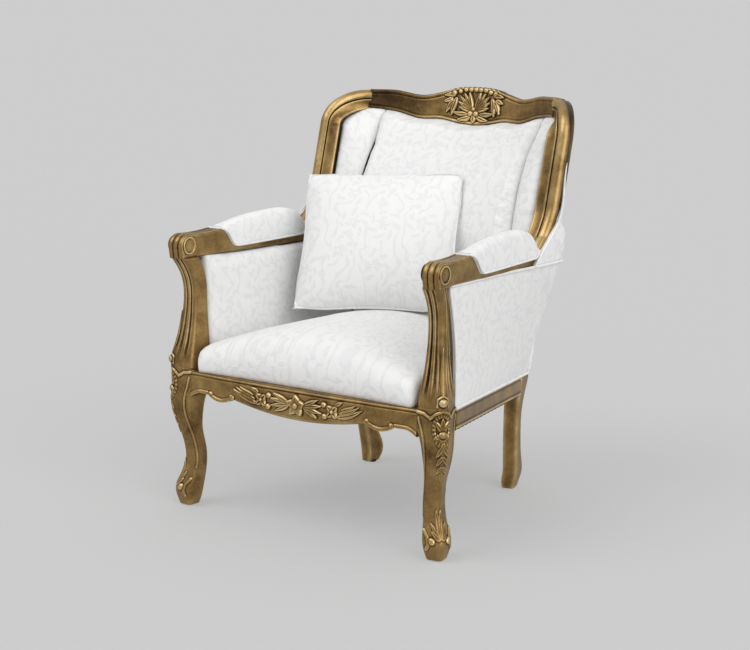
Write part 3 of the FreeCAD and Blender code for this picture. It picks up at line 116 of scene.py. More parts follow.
def damask():
    """Pale jacquard: matt ground, satin flowers, leaves and vines of the same white."""
    material, surface, feed, add, ramp, maths = shader("damask")
    cloth = add("Attribute", attribute_name="fabric").outputs["Vector"]
    drift = add("TexNoise", {"Vector": cloth, "Scale": 26, "Detail": 2}, noise_dimensions="2D").outputs[1]
    drift = add("VectorMath", {0: drift, 1: (0.5, 0.5, 0.5)}, operation="SUBTRACT").outputs[0]
    drift = add("VectorMath", {0: drift, "Scale": 0.03}, operation="SCALE").outputs[0]
    warped = add("VectorMath", {0: cloth, 1: drift}, operation="ADD").outputs[0]
    cells = add("TexVoronoi", {"Vector": cloth, "Scale": 10.5, "Randomness": 0.5}, voronoi_dimensions="2D")
    local = add("VectorMath", {0: warped, 1: cells.outputs["Position"]}, operation="SUBTRACT").outputs[0]
    parts = add("SeparateXYZ", {0: local}).outputs
    radius = maths("SQRT", maths("ADD", maths("POWER", parts[0], 2.0), maths("POWER", parts[1], 2.0)))
    angle = maths("ARCTAN2", parts[1], parts[0])

    def beyond(value, limit, steep):
        return maths("MULTIPLY", maths("SUBTRACT", value, limit), steep, clamp=True)

    petals = maths("COSINE", maths("MULTIPLY", angle, 5.0))
    bloom = beyond(maths("MULTIPLY_ADD", petals, 0.006, 0.016), radius, 420.0)
    eye = beyond(0.0045, radius, 700.0)
    swirl = maths("COSINE", maths("ADD", maths("MULTIPLY", angle, 7.0), maths("MULTIPLY", radius, 210.0)))
    band = maths("MULTIPLY", beyond(radius, 0.024, 380.0), beyond(0.042, radius, 380.0))
    leaves = maths("MULTIPLY", beyond(swirl, 0.1, 4.0), band)
    waves = {"Vector": warped, "Scale": 9, "Distortion": 9, "Detail": 1.5, "Detail Scale": 1.6}
    vine = beyond(add("TexWave", waves).outputs["Fac"], 0.8, 8.0)
    vine = maths("MULTIPLY", vine, beyond(radius, 0.04, 300.0))
    figure = maths("MAXIMUM", maths("MAXIMUM", maths("SUBTRACT", bloom, eye, clamp=True), leaves), vine)
    weave = add("TexWave", {"Vector": cloth, "Scale": 420, "Distortion": 1.2, "Detail": 1}).outputs["Fac"]
    slub = add("TexNoise", {"Vector": cloth, "Scale": 60, "Detail": 4}).outputs[0]
    tone = maths("MULTIPLY_ADD", figure, -0.45, 0.62)
    tone = maths("ADD", tone, maths("MULTIPLY_ADD", slub, 0.5, -0.25), clamp=True)
    colour = ramp(tone, [(0.0, (0.73, 0.735, 0.74)), (0.5, (0.80, 0.80, 0.795)), (1.0, (0.86, 0.86, 0.85))])
    height = maths("ADD", maths("MULTIPLY", figure, 0.8), maths("MULTIPLY", weave, 0.25))
    feed(surface, {
        "Base Color": colour,
        "Roughness": maths("MULTIPLY_ADD", figure, -0.3, 0.88),
        "Sheen Weight": 0.25,
        "Sheen Roughness": 0.5,
        "Normal": add("Bump", {"Height": height, "Strength": 0.5, "Distance": 0.0007}).outputs[0],
    })
    return material


def plain(name, dark, light, scale, rough, metal=0.0, stretch=(1, 1, 1)):
    """A simple material with grain for the pieces inside the chair."""
    material, surface, feed, add, ramp, maths = shader(name)
    place = add("TexCoord").outputs["Object"]
    place = add("Mapping", {"Vector": place, "Scale": stretch}).outputs[0]
    grain = add("TexNoise", {"Vector": place, "Scale": scale, "Detail": 6, "Roughness": 0.6}).outputs[0]
    feed(surface, {
        "Base Color": ramp(grain, [(0.3, dark), (0.7, light)]),
        "Roughness": maths("MULTIPLY_ADD", grain, 0.2, rough - 0.1),
        "Metallic": metal,
        "Normal": add("Bump", {"Height": grain, "Strength": 0.3, "Distance": 0.0008}).outputs[0],
    })
    return material


GILT = gilt()
DAMASK = damask()
BEECH = plain("beech", (0.42, 0.27, 0.15), (0.62, 0.45, 0.28), 24, 0.6, stretch=(1, 6, 6))
JUTE = plain("jute", (0.20, 0.14, 0.08), (0.40, 0.31, 0.20), 260, 0.9)
STEEL = plain("zinc", (0.45, 0.45, 0.46), (0.6, 0.6, 0.6), 300, 0.35, 0.9)
GLIDE = plain("glide", (0.04, 0.035, 0.03), (0.08, 0.07, 0.06), 200, 0.55)
DUST = plain("dust_cloth", (0.02, 0.02, 0.02), (0.05, 0.05, 0.05), 500, 0.95)
FOAM = plain("foam", (0.62, 0.55, 0.38), (0.78, 0.72, 0.55), 220, 0.95)
INSIDE = {
    "frame_wood": BEECH, "gilt_wood": GILT, "screw_steel": STEEL, "glide_plastic": GLIDE, "webbing": JUTE,
    "hessian": JUTE, "dust_cloth": DUST, "foam": FOAM, "filling": FOAM, "damask": DAMASK,
}
for part in frame["record"]["subparts"]:
    node = nodes[part["node"]]
    node.data.materials.clear()
    node.data.materials.append(INSIDE[part["material_slot"]])


# Meshes from grids of points

def unit(vectors):
    return vectors / np.linalg.norm(vectors, axis=-1, keepdims=True)


def link_object(name, data):
    item = bpy.data.objects.new(name, data)
    bpy.context.collection.objects.link(item)
    return item


def grid_faces(rows, cols, wrap):
    i, j = np.meshgrid(np.arange(rows - 1), np.arange(cols if wrap else cols - 1), indexing="ij")
    after = (j + 1) % cols
    quads = [i * cols + j, i * cols + after, (i + 1) * cols + after, (i + 1) * cols + j]
    return np.stack(quads, -1).reshape(-1, 4).tolist()


def build(name, points, faces, material, body="chair", stands_for=(), relief=None, fabric=None):
    mesh = bpy.data.meshes.new(name)
    mesh.from_pydata((np.asarray(points) * MM).tolist(), [], faces)
    work = bmesh.new()
    work.from_mesh(mesh)
    bmesh.ops.recalc_face_normals(work, faces=work.faces)
    work.to_mesh(mesh)
    work.free()
    mesh.polygons.foreach_set("use_smooth", [len(face) < 5 for face in faces])
    if relief is not None:
        mesh.attributes.new("relief", "FLOAT", "POINT").data.foreach_set("value", np.ravel(relief))
    if fabric is not None:
        cloth = np.zeros((len(fabric), 3))
        cloth[:, :2] = np.asarray(fabric) * MM
        mesh.attributes.new("fabric", "FLOAT_VECTOR", "POINT").data.foreach_set("vector", cloth.ravel())
    mesh.materials.append(material)
    item = link_object(name, mesh)
    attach(item, body)
    if stands_for:
        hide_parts(*stands_for)
    return item


def flip(points):
    return np.asarray(points) * np.array([-1, 1, 1])


def wood(name, grid, relief, stands_for=(), caps=True):
    """A closed tube of show-wood: rows of points, each row a ring."""
    rows, cols = grid.shape[:2]
    faces = grid_faces(rows, cols, True)
    if caps:
        faces += [list(range(cols)), list(range((rows - 1) * cols, rows * cols))]
    return build(name, grid.reshape(-1, 3), faces, GILT, stands_for=stands_for, relief=relief)


def wood_pair(name, grid, relief, stands_for=True, caps=True):
    for side, points in (("right", grid), ("left", flip(grid))):
        label = f"{name}_{side}"
        wood(label + "_carved", points, relief, (label,) if stands_for else (), caps)


def fade(value, start, end):
    """From 0 at the start to 1 at the end."""
    return np.clip((value - start) / (end - start), 0, 1)


def spline(stations, values, at):
    """A natural cubic through the stations."""
    x, y = np.asarray(stations, float), np.asarray(values, float)
    step = np.diff(x)
    system, right = np.eye(len(x)), np.zeros(y.shape)
    for i in range(1, len(x) - 1):
        system[i, i - 1:i + 2] = step[i - 1], 2 * (step[i - 1] + step[i]), step[i]
        right[i] = 6 * ((y[i + 1] - y[i]) / step[i] - (y[i] - y[i - 1]) / step[i - 1])
    bend = np.linalg.solve(system, right.reshape(len(x), -1)).reshape(y.shape)
    at = np.asarray(at, float)
    k = np.clip(np.searchsorted(x, at) - 1, 0, len(x) - 2)
    spread = (...,) + (None,) * (y.ndim - 1)
    t, u, h = (at - x[k])[spread], (x[k + 1] - at)[spread], step[k][spread]
    rest = (y[k] / h - bend[k] * h / 6) * u + (y[k + 1] / h - bend[k + 1] * h / 6) * t
    return (bend[k] * u ** 3 + bend[k + 1] * t ** 3) / (6 * h) + rest


def read_line(points, shares):
    """A polyline read at shares of its length, and that length."""
    points = np.asarray(points, float)
    run = np.r_[0, np.cumsum(np.linalg.norm(np.diff(points, axis=0), axis=1))]
    return np.stack([np.interp(shares * run[-1], run, column) for column in points.T], -1), run[-1]


def along_line(points, count):
    return read_line(points, np.linspace(0, 1, count))[0]


def rounded(points, radii, shares):
    """A rounded outline, read at shares of its length from the middle of its first corner."""
    dense = []
    for i, corner in enumerate(points):
        a = unit(points[i - 1] - corner)
        b = unit(points[(i + 1) % len(points)] - corner)
        half = math.acos(np.clip(a @ b, -1, 1)) / 2
        centre = corner + unit(a + b) * radii[i] / math.sin(half)
        reach = radii[i] / math.tan(half)
        for w in np.linspace(0, 1, 9):
            ray = (corner + a * reach - centre) * (1 - w) + (corner + b * reach - centre) * w
            dense.append(centre + unit(ray) * radii[i])
    dense = np.roll(np.array(dense), -4, axis=0)
    return read_line(np.vstack([dense, dense[:1]]), shares)


def ring_stack(levels, outlines, shares):
    """A grid of rounded rings at levels, and how far each point lies round from the first corner."""
    rows, reach = [], []
    for level, (points, radii) in zip(levels, outlines):
        ring, length = rounded(points, radii, shares)
        rows.append(np.c_[ring, np.full(len(ring), level)])
        reach.append(np.where(shares < 0.5, shares, shares - 1) * length)
    return np.array(rows), np.array(reach)


def normals(grid):
    """Outward normals of a grid of rings."""
    around = np.roll(grid, -1, 1) - np.roll(grid, 1, 1)
    up = np.gradient(grid, axis=0)
    normal = np.cross(around, up)
    normal /= np.linalg.norm(normal, axis=2, keepdims=True) + 1e-9
    out = grid - grid.mean(axis=1, keepdims=True)
    return normal * np.sign((normal * out).sum(axis=2).mean())


def wear_and_shade(height, reach=5, full=0.9):
    """Where a relief stands above its surroundings (rubbed pale, with a painted highlight, +1) or below
    them (dirty, with painted shade, -1).
    """
    smooth = height.copy()
    for _ in range(reach):
        padded = np.pad(smooth, 1, mode="edge")
        smooth = (padded[:-2, 1:-1] + padded[2:, 1:-1] + padded[1:-1, :-2] + padded[1:-1, 2:] + smooth) / 5
    return np.clip((height - smooth) / full, -1, 1)


# Carving: heights over a flat X, Y in millimetres

def bulge(at):
    """A half round from -1 to 1."""
    return np.sqrt(np.clip(1 - at ** 2, 0, None))


def bead(at, place, wide):
    """A soft swelling across a moulding."""
    return np.exp(-((at - place) / wide) ** 2)


def dome(X, Y, x, y, wide, high, tall=None):
    return high * bulge(np.hypot((X - x) / wide, (Y - y) / (tall or wide)))


def leaf(X, Y, x, y, angle, length, width, high, bend=0.0, vein=0.35):
    c, s = math.cos(math.radians(angle)), math.sin(math.radians(angle))
    t = ((X - x) * c + (Y - y) * s) / length
    n = (Y - y) * c - (X - x) * s - bend * length * np.clip(t, 0, 1) ** 2
    inside = np.clip(t, 1e-4, 1 - 1e-4)
    half = width * np.sin(math.pi * inside ** 0.72) ** 0.8 + 1e-3
    body = bulge(n / half)
    rise = high * (0.55 + 0.45 * inside) * body - vein * high * bead(n, 0, 0.22 * half)
    return np.where((t > 0) & (t < 1) & (body > 0), np.clip(rise, 0.1, None), 0)


def ridge(X, Y, points, width, high):
    best = np.full(X.shape, 1e9)
    for (x0, y0), (x1, y1) in zip(points, points[1:]):
        dx, dy = x1 - x0, y1 - y0
        t = np.clip(((X - x0) * dx + (Y - y0) * dy) / (dx * dx + dy * dy), 0, 1)
        best = np.minimum(best, np.hypot(X - x0 - t * dx, Y - y0 - t * dy))
    return high * bulge(best / width)


def highest(*layers):
    return np.maximum.reduce(layers)


def board(x, low, high, rows):
    """A flat grid between two edges: X, Z, the distance from the middle and from the low edge."""
    X = np.repeat(x[:, None], rows, 1)
    Z = low[:, None] + (high - low)[:, None] * np.linspace(0, 1, rows)
    return X, Z, np.abs(X), Z - low[:, None]


# The chair's plan, as in the solids

SPLAY, FALL = math.radians(13.6), math.tan(math.radians(4.2))
FRONT = -409.0
CORNER = np.array([402.0, -399.0])  # of the front leg, in plan
KNEE = 74.0  # side of the front leg's square head
RAIL_TOP = 347.0
POST_FOOT, ARM_LEVEL = 352.0, 620.0
ALONG = np.array([-math.sin(SPLAY), math.cos(SPLAY)])
INWARD = np.array([-math.cos(SPLAY), -math.sin(SPLAY)])
DIAGONAL = unit(np.array([1.0, 0]) - ALONG)
LATERAL = np.array([-DIAGONAL[1], DIAGONAL[0]])
HALF_CORNER = math.acos(-ALONG[0]) / 2


def rail_top(y):
    return RAIL_TOP - FALL * (y - CORNER[1]) / math.cos(SPLAY)


def arm_under(y):
    return ARM_LEVEL - 14 * (y - CORNER[1] - KNEE) / 512


def arm_x(y):
    return 364 - 24 * (y - CORNER[1]) / 571


def arm_top(y):
    """The arm's upper line: handhold, step down to the pad's seat, sweep up to the wing stile."""
    step = spline([-265, -241, -219, -201], [677, 661, 632, 627], np.clip(y, -265, -201))
    sweep = spline([35, 53, 76, 98], [627, 634, 655, 672], np.clip(y, 35, 98))
    return np.maximum(step, sweep)


def wall(y, level, depth):
    """A point of the arm's side wall, depth inside its outer face."""
    share = (level - rail_top(y)) / (arm_under(y) - rail_top(y))
    low = CORNER[0] - (y - CORNER[1]) * math.tan(SPLAY)
    return np.array([low + (arm_x(y) + 19.2 - low) * share - depth, y, level])


# Front legs: cabriole, with a chevron and a cartouche on the knee and a leaf between balls on the toe

def even_round(count):
    """Shares round a ring, closer together by the first corner, which is carved."""
    u = np.arange(count) / count
    return u - 0.62 * np.sin(2 * math.pi * u) / (2 * math.pi)


def front_leg():
    shares = even_round(176)
    levels = np.linspace(3, POST_FOOT, 234)
    height = np.array([0, 0.05, 0.14, 0.24, 0.37, 0.5, 0.63, 0.78, 0.92, 1])
    marks = 3 + height * 297
    knee = KNEE * math.cos(HALF_CORNER)
    half = np.array([28, 34.5, 41, 36.5, 32, 32, 34.6, 45, 54, knee])
    back = 47.6 + 19 * np.array([0, 0, 0.05, 0.55, 1, 0.9, 0.45, 0.1, 0.2, 0])
    back[-1] = knee
    side = half * (0.96 - 0.16 * height)
    side[-1] = KNEE * math.sin(HALF_CORNER)
    tip_round = np.append(half[:-1] * 0.36, 20)
    rest_round = np.append(half[:-1] * 0.3, 5)
    at = np.minimum(levels, 300)
    outlines = []
    values = [spline(marks, v, at) for v in (half, back, side, tip_round, rest_round)]
    for z, h, b, s, r0, r1 in zip(levels, *values):
        middle = CORNER - DIAGONAL * b
        points = [middle + DIAGONAL * h, middle + LATERAL * s, middle - DIAGONAL * h, middle - LATERAL * s]
        outlines.append((points, [r0, r1, r0 if z < 290 else r1, r1]))
    grid, S = ring_stack(levels, outlines, shares)
    Z = grid[:, :, 2]
    A = np.abs(S)
    chevron = ridge(A, Z, [(0, 350), (16, 343), (30, 332), (46, 341), (74, 345)], 4.2, 3.4)
    rim = np.abs(np.hypot(S / 21, (Z - 308) / 35) - 1) * 24
    oval = 2.6 * bulge(rim / 5)
    beads = oval * (0.72 + 0.28 * np.cos(np.arctan2(Z - 308, S * 1.6) * 22))
    ground = np.where(np.hypot(S / 19, (Z - 308) / 33) < 1, -1.6, 0.0)
    fan = highest(*[leaf(S, Z, 0, 302, a, 34, 6, 3.6) for a in (58, 90, 122)])
    ball = dome(S, Z, 0, 297, 9, 7)
    cup = highest(*[leaf(A, Z, 1, 282, a, 20, 5, 3.2) for a in (20, 55)])
    husks = [leaf(A, Z, 0.5, 272 - 24 * k, -62, 30 - 4 * k, 6.5 - k, 3.2) for k in range(3)]
    tail = leaf(S, Z, 0, 214, -90, 30, 4.5, 2.4)
    toe_leaf = [leaf(A, Z, 2, 52, a, length, 7.5, 3.6) for a, length in ((88, 66), (64, 40), (44, 26))]
    toe_ball = dome(A, Z, 23, 49, 8.5, 6.5)
    toe_scroll = ridge(A, Z, [(37, 30), (33, 41), (34, 56), (40, 70)], 5, 2.4)
    edge = ridge(A, Z, [(62, 330), (52, 295), (47, 250), (42, 200), (40, 150), (42, 100)], 3.2, 1.5)
    H = highest(chevron, beads, fan, ball, cup, tail, toe_ball, toe_scroll, edge, *husks, *toe_leaf)
    H = np.where(H > 0.02, H, ground)
    grid = grid + normals(grid) * H[..., None]
    wood_pair("front_leg", grid, wear_and_shade(H))


# Arm posts: waisted and fluted, with a husk and a boss over the knee

def arm_post():
    shares = even_round(168)
    levels = np.linspace(POST_FOOT, ARM_LEVEL, 180)
    share = [0, 0.08, 0.19, 0.37, 0.6, 0.78, 0.92, 1]
    base = np.array([1, 0.93, 0.66, 0.26, 0, 0, 0, 0])
    waist = np.array([0, 0.07, 0.34, 0.74, 1, 0.93, 0.45, 0])
    top = 1 - base - waist
    tips = np.outer(base, CORNER) + np.outer(waist, CORNER + (-24, 31)) + np.outer(top, CORNER - (14, 0))
    sides = base * KNEE + waist * 43 + top * 50
    at = (levels - POST_FOOT) / (ARM_LEVEL - POST_FOOT)
    tip_x, tip_y, side = (spline(share, v, at) for v in (tips[:, 0], tips[:, 1], sides))
    outlines = []
    for x, y, s in zip(tip_x, tip_y, side):
        tip = np.array([x, y])
        outlines.append(([tip, tip + ALONG * s, tip + ALONG * s - (s, 0), tip - (s, 0)], [s * 0.2] * 4))
    grid, S = ring_stack(levels, outlines, shares)
    S = S / side[:, None]
    Z, A = grid[:, :, 2], np.abs(S)
    high = fade(Z, 372, 412) * np.maximum(fade(Z, 626, 612), 0.25)
    lean = 0.02 * fade(Z, 480, 620)

    def flute(place, wide, deep):
        return -deep * bulge((A - place) / wide) * high

    H = flute(0.36 - lean, 0.075, 3.0) + flute(0.66 - lean, 0.075, 3.0)
    lower = fade(Z, 500, 460)
    H = H + flute(0.15, 0.06, 2.4) * lower
    husk = leaf(S * 55, Z, 0, 376, 90, 112, 6, 3.2, vein=0.0)
    boss = dome(S * 72, Z, 0, 369, 9.5, 6.5)
    ring = ridge(S * 72, Z, [(-14, 360), (-13, 376), (0, 384), (13, 376), (14, 360)], 2.6, 2.0)
    H = np.where(highest(husk, boss, ring) > 0.05, highest(husk, boss, ring), H)
    grid = grid + normals(grid) * H[..., None]
    wood_pair("arm_post", grid, wear_and_shade(H, 8))


# Arms: reeded handhold with scroll discs, hollow seat for the pad, sweep up to the wing

def arm():
    under = [(-399, 619), (-325, 620), (164, arm_under(164)), (168, 640), (166, 672), (98, 672)]
    y = np.linspace(98, 35, 24)
    sweep = np.c_[y, arm_top(y)]
    y = np.linspace(-201, -265, 24)
    step = np.c_[y, arm_top(y)]
    y = np.linspace(-266, -374, 24)
    hollow = np.c_[y, 676.5 - 3 * np.sin(math.pi * (y + 266) / -108)]
    turn = np.radians(np.linspace(92, 180, 24))
    nose = np.vstack([np.c_[-375 + 28 * np.cos(turn), 648 + 28 * np.sin(turn)], (-402, 634)])
    line = along_line(np.vstack([under, sweep, step, hollow, nose, under[:1]]), 361)[:-1]
    along, up = line.T
    run = unit(np.roll(line, -1, 0) - np.roll(line, 1, 0))
    out = np.c_[run[:, 1], -run[:, 0]]
    u = np.sin(np.linspace(-1, 1, 45) * math.pi / 2)
    edge = fade(np.abs(u), 0.74, 1)
    thick = arm_top(along) - arm_under(along)
    inset = np.outer(np.clip(0.28 * thick, 2, 6), 1 - np.sqrt(1 - edge ** 2))
    front = fade(along, -318, -364) * (up > 621)
    lobes = 3.4 * np.abs(np.cos(1.5 * math.pi * u)) ** 0.55 - 2.6
    top = (up > 626.5) & (along < 100)
    lip = 1.8 * bead(np.abs(u), 0.82, 0.07) - 0.9 * bead(np.abs(u), 0.62, 0.07)
    H = np.outer(front, lobes) + np.outer(top * (1 - front), lip)

    def half_width(y):
        return spline([-403, -299, -99, 55, 172], [24, 24, 22.5, 22.5, 31], y)

    half = half_width(along)
    shift = H - inset
    grid = np.stack([
        arm_x(along)[:, None] + half[:, None] * u[None, :],
        along[:, None] + out[:, 0][:, None] * shift,
        up[:, None] + out[:, 1][:, None] * shift,
    ], -1)
    # the relief tone plus a painted highlight along the arm's two rounded long edges
    tone = wear_and_shade(H, 4, 0.8) + 0.35 * bead(np.abs(u), 0.93, 0.05)[None, :]
    tone[:, [0, -1]] = 0
    rows, y = list(grid.transpose(1, 0, 2)), np.clip(along, -378, 145)
    for way, ring in ((-1, rows[0]), (1, rows[-1])):
        core = np.c_[arm_x(y) + way * half_width(y), y, (arm_top(y) + arm_under(y)) / 2]
        closing = [ring + (core - ring) * 0.06, core]
        rows = closing[::-1] + rows if way < 0 else rows + closing
    tone = np.pad(np.clip(tone, -1, 1).T, ((2, 2), (0, 0)))
    wood_pair("arm", np.array(rows), tone, caps=False)
    # scroll discs: radius, height and shade
    turned = np.array([
        (0, 1.6, 0.1), (6, 1.5, 0.1), (12, 1.1, 0), (15.5, 0.7, -0.3), (16.6, 0.5, -0.8),
        (17.8, 1.8, 0.3), (19.6, 2.6, 1), (21.2, 1.8, 0.3), (22.4, -0.6, -0.9),
    ])
    y, z = -379, 650
    circle = np.linspace(0, 2 * math.pi, 48, endpoint=False)
    for place, way in (("outer", 1), ("inner", -1)):
        x = arm_x(y) + way * 23.6
        rings = [np.c_[0 * circle + x + way * h, y + r * np.cos(circle), z + r * np.sin(circle)]
                 for r, h, _ in turned]
        shade = np.repeat(turned[:, 2], len(circle))
        wood_pair(f"scroll_{place}", np.array(rings), shade, stands_for=False, caps=False)


# Wing stiles and crest

# across, forward and tone, as shares of the section; the tone is darker in the grooves and on the faces
# turned back and lighter on the beads, painted shade and highlight as well as dirt and wear
PROFILE = np.array([
    (-0.5, -0.5, 0), (-0.5, 0.28, -0.8), (-0.497, 0.43, -0.3), (-0.475, 0.49, 0.5), (-0.43, 0.5, 0.7),
    (-0.38, 0.48, 0.1), (-0.25, 0.455, 0), (-0.1, 0.46, 0), (-0.02, 0.49, 0.4), (0.01, 0.5, 0.6),
    (0.03, 0.45, -0.4), (0.042, 0.36, -1), (0.06, 0.36, -1), (0.075, 0.43, -0.4), (0.12, 0.485, 0.3),
    (0.2, 0.505, 0.5), (0.3, 0.49, 0.4), (0.39, 0.43, 0.3), (0.455, 0.33, 0.3), (0.49, 0.22, 0.2),
    (0.5, 0.08, 0), (0.475, -0.02, -0.6), (0.42, -0.1, -0.6), (0.4, -0.5, 0),
])
STOCK = 38.0  # depth of the moulded front, kept where the stile gets deeper at its foot


def bezier(handles, t):
    w = np.stack([(1 - t) ** 3, 3 * t * (1 - t) ** 2, 3 * t ** 2 * (1 - t), t ** 3], -1)
    return w @ handles


CREST_LEAN = math.radians(12.4)
CREST_HALF = math.radians(33.9)
CREST_RADIUS = 495.0
CREST_BASE = np.array([0, 409 - 34 * math.cos(CREST_LEAN) - 50 * math.tan(CREST_LEAN), 950.0])


def crest_place(points):
    """From the crest's own upright frame to where it leans in the chair."""
    c, s = math.cos(CREST_LEAN), math.sin(CREST_LEAN)
    x, y, z = points[..., 0], points[..., 1], points[..., 2]
    return CREST_BASE + np.stack([x, y * c + z * s, z * c - y * s], -1)


def crest_arc(radius, angle, level):
    angle, level = np.broadcast_arrays(np.asarray(angle, float), np.asarray(level, float))
    return np.stack([radius * np.sin(angle), radius * np.cos(angle) - CREST_RADIUS, level], -1)


def crest_low(share):
    """The crest's lower edge at a share of its half length."""
    return spline([0, 0.2, 0.36, 0.55, 0.74, 0.95, 1.2], [-48, -43, -37, -40, -29, -27, -28.5], share)


def wing_stile():
    slope = math.tan(math.radians(16))
    foot_level, arm_end, bend_level = 629, 672, 900
    twist = math.radians(12)

    def middle(z):
        return np.array([342, 139 + (z - arm_end) * slope, z])

    def grown(z):
        return fade(z, foot_level, 720)

    joint = crest_place(crest_arc(CREST_RADIUS + 17, CREST_HALF, -3.5))
    into = np.array([-math.cos(CREST_HALF), math.sin(CREST_HALF), 0])
    start = middle(bend_level)
    rise = np.array([0, slope, 1]) / math.hypot(slope, 1)
    handles = np.array([start, start + rise * 45, joint - into * 40, joint])
    sections = []
    sweep_y = np.linspace(35, 98, 30)
    sweep_z = arm_top(sweep_y)
    for z in np.linspace(foot_level, arm_end, 30)[:-1]:
        front, rear = np.interp(z, sweep_z, sweep_y) - 2, 160
        centre = np.array([342, (front + rear) / 2, z])
        sections.append((centre, np.array([0, 0, 1.0]), twist * grown(z), 47 + 14 * grown(z), rear - front))
    for z in np.linspace(arm_end, bend_level, 60)[:-1]:
        foot = 1 - fade(z, arm_end, arm_end + 62)
        centre = middle(z) - np.array([0, 10 * foot ** 2, 0])
        tangent = rise * (1 - foot) + np.array([0, 0, 1]) * foot
        sections.append((centre, tangent, twist * grown(z), 47 + 14 * grown(z), STOCK + 26 * foot ** 2))
    for t in np.linspace(0, 1.06, 63):
        here = bezier(handles, np.array(t))
        ahead = bezier(handles, np.array(t + 0.01)) - bezier(handles, np.array(t - 0.01))
        angle = twist + (CREST_HALF - twist) * t
        sections.append((here, ahead, angle, 61 - 11 * t, STOCK - 4 * t))
    rows = []
    for centre, tangent, angle, wide, deep in sections:
        tangent = unit(tangent)
        flat = np.array([-math.sin(angle), -math.cos(angle), 0])
        face = unit(flat - tangent * (flat @ tangent))
        outer = np.cross(tangent, face)
        out = np.where(PROFILE[:, 1] > 0, deep / 2 - (0.5 - PROFILE[:, 1]) * STOCK, PROFILE[:, 1] * deep)
        rows.append(centre + np.outer(PROFILE[:, 0] * wide, outer) + np.outer(out, face))
    tone = np.tile(PROFILE[:, 2], (len(rows), 1))
    grid = np.array(rows)
    wood_pair("wing_stile", grid, tone)
    return (grid[29:, 0] + grid[29:, 1] * 2) / 3


def crest():
    half = CREST_RADIUS * math.sin(CREST_HALF)
    cols, rows = 460, 72
    angle = np.linspace(-CREST_HALF, CREST_HALF, cols)
    x = CREST_RADIUS * np.sin(angle)
    share = np.abs(x) / half
    high = spline([0, 0.2, 0.36, 0.55, 0.78, 0.95, 1.2], [51.2, 47.2, 35, 23, 29, 25, 21.5], share)
    low = crest_low(share)
    high = high + 2.2 * np.abs(np.sin(math.pi * x / 15)) * fade(np.abs(x), 78, 68) - 1.2
    X, Z, A, from_low = board(x, low, high, rows)
    from_top = high[:, None] - Z
    ground = 2.2 * bead(from_top, 5, 3.2) - 1.6 * bead(from_top, 11, 2.4)
    ground = ground + 2.0 * bead(from_low, 4.5, 3) - 1.2 * bead(from_low, 9.5, 2.2)
    ground = ground - 1.8 * np.sin(math.pi * np.linspace(0, 1, rows))
    edge = np.minimum(from_top, from_low)
    round_off = -4.5 * fade(edge, 5, 0) ** 2
    fans = [leaf(A, Z, 5, -12, a, length, 6.6, 7.5, vein=0.3)
            for a, length in ((12, 42), (28, 50), (44, 54), (60, 54), (76, 50))]
    spray = highest(*fans)
    berries = highest(dome(A, Z, 8.5, -19, 7.6, 9.5), dome(X, Z, 0, -7, 5.5, 8))
    lower = highest(
        leaf(X, Z, 0, -24, -90, 20, 8, 6),
        leaf(A, Z, 10, -27, -28, 38, 7.5, 6.5, bend=0.25),
        leaf(A, Z, 18, -20, -8, 44, 7, 6, bend=0.2),
    )
    outer = highest(
        leaf(A, Z, 54, 22, -72, 50, 7.5, 7, bend=-0.1),
        leaf(A, Z, 62, 14, -50, 38, 7, 6.5, bend=-0.2),
        leaf(A, Z, 66, 18, -22, 26, 6.5, 6),
        leaf(A, Z, 58, 28, 8, 32, 7, 6.5, bend=-0.25),
        dome(A, Z, 63, 33, 7.5, 7.5),
        dome(A, Z, 46, 38, 6.5, 6.5),
    )
    tops = [dome(A, Z, c, np.interp(c, x[cols // 2:], high[cols // 2:]) - 6, 7, 6.5) for c in (0, 15, 30)]
    shield = dome(X, Z, 0, 0, 84, 3.2, 47)
    carved = highest(spray, berries, lower, outer, *tops)
    ground = ground + shield * 0.4 - 1.4 * (shield > 0.6)
    H = np.where(carved > 0.05, carved + shield * 0.6, ground) + round_off
    front = crest_arc(CREST_RADIUS, angle[:, None], Z)
    toward = np.stack([-np.sin(angle), -np.cos(angle), np.zeros(cols)], -1)[:, None, :]
    front = front + toward * H[..., None]
    back = CREST_RADIUS + 34
    rear = np.stack([
        crest_arc(back - 4, angle, high - 0.5), crest_arc(back, angle, high - 5),
        crest_arc(back, angle, low + 5), crest_arc(back - 4, angle, low + 0.5),
    ], 1)
    grid = crest_place(np.concatenate([front, rear], 1))
    shadow = -0.55 * fade(x, -90, -200) - 0.2 * fade(x, 120, 230)
    tone = np.concatenate([np.clip(wear_and_shade(H, 5, 1.1) + shadow[:, None], -1, 1), np.zeros((cols, 4))], 1)
    wood("crest_rail_carved", grid, tone, ("crest_rail",))


# Front rail: bowed apron with a flower, fans, rosettes and curling leaves; side rails with a bead

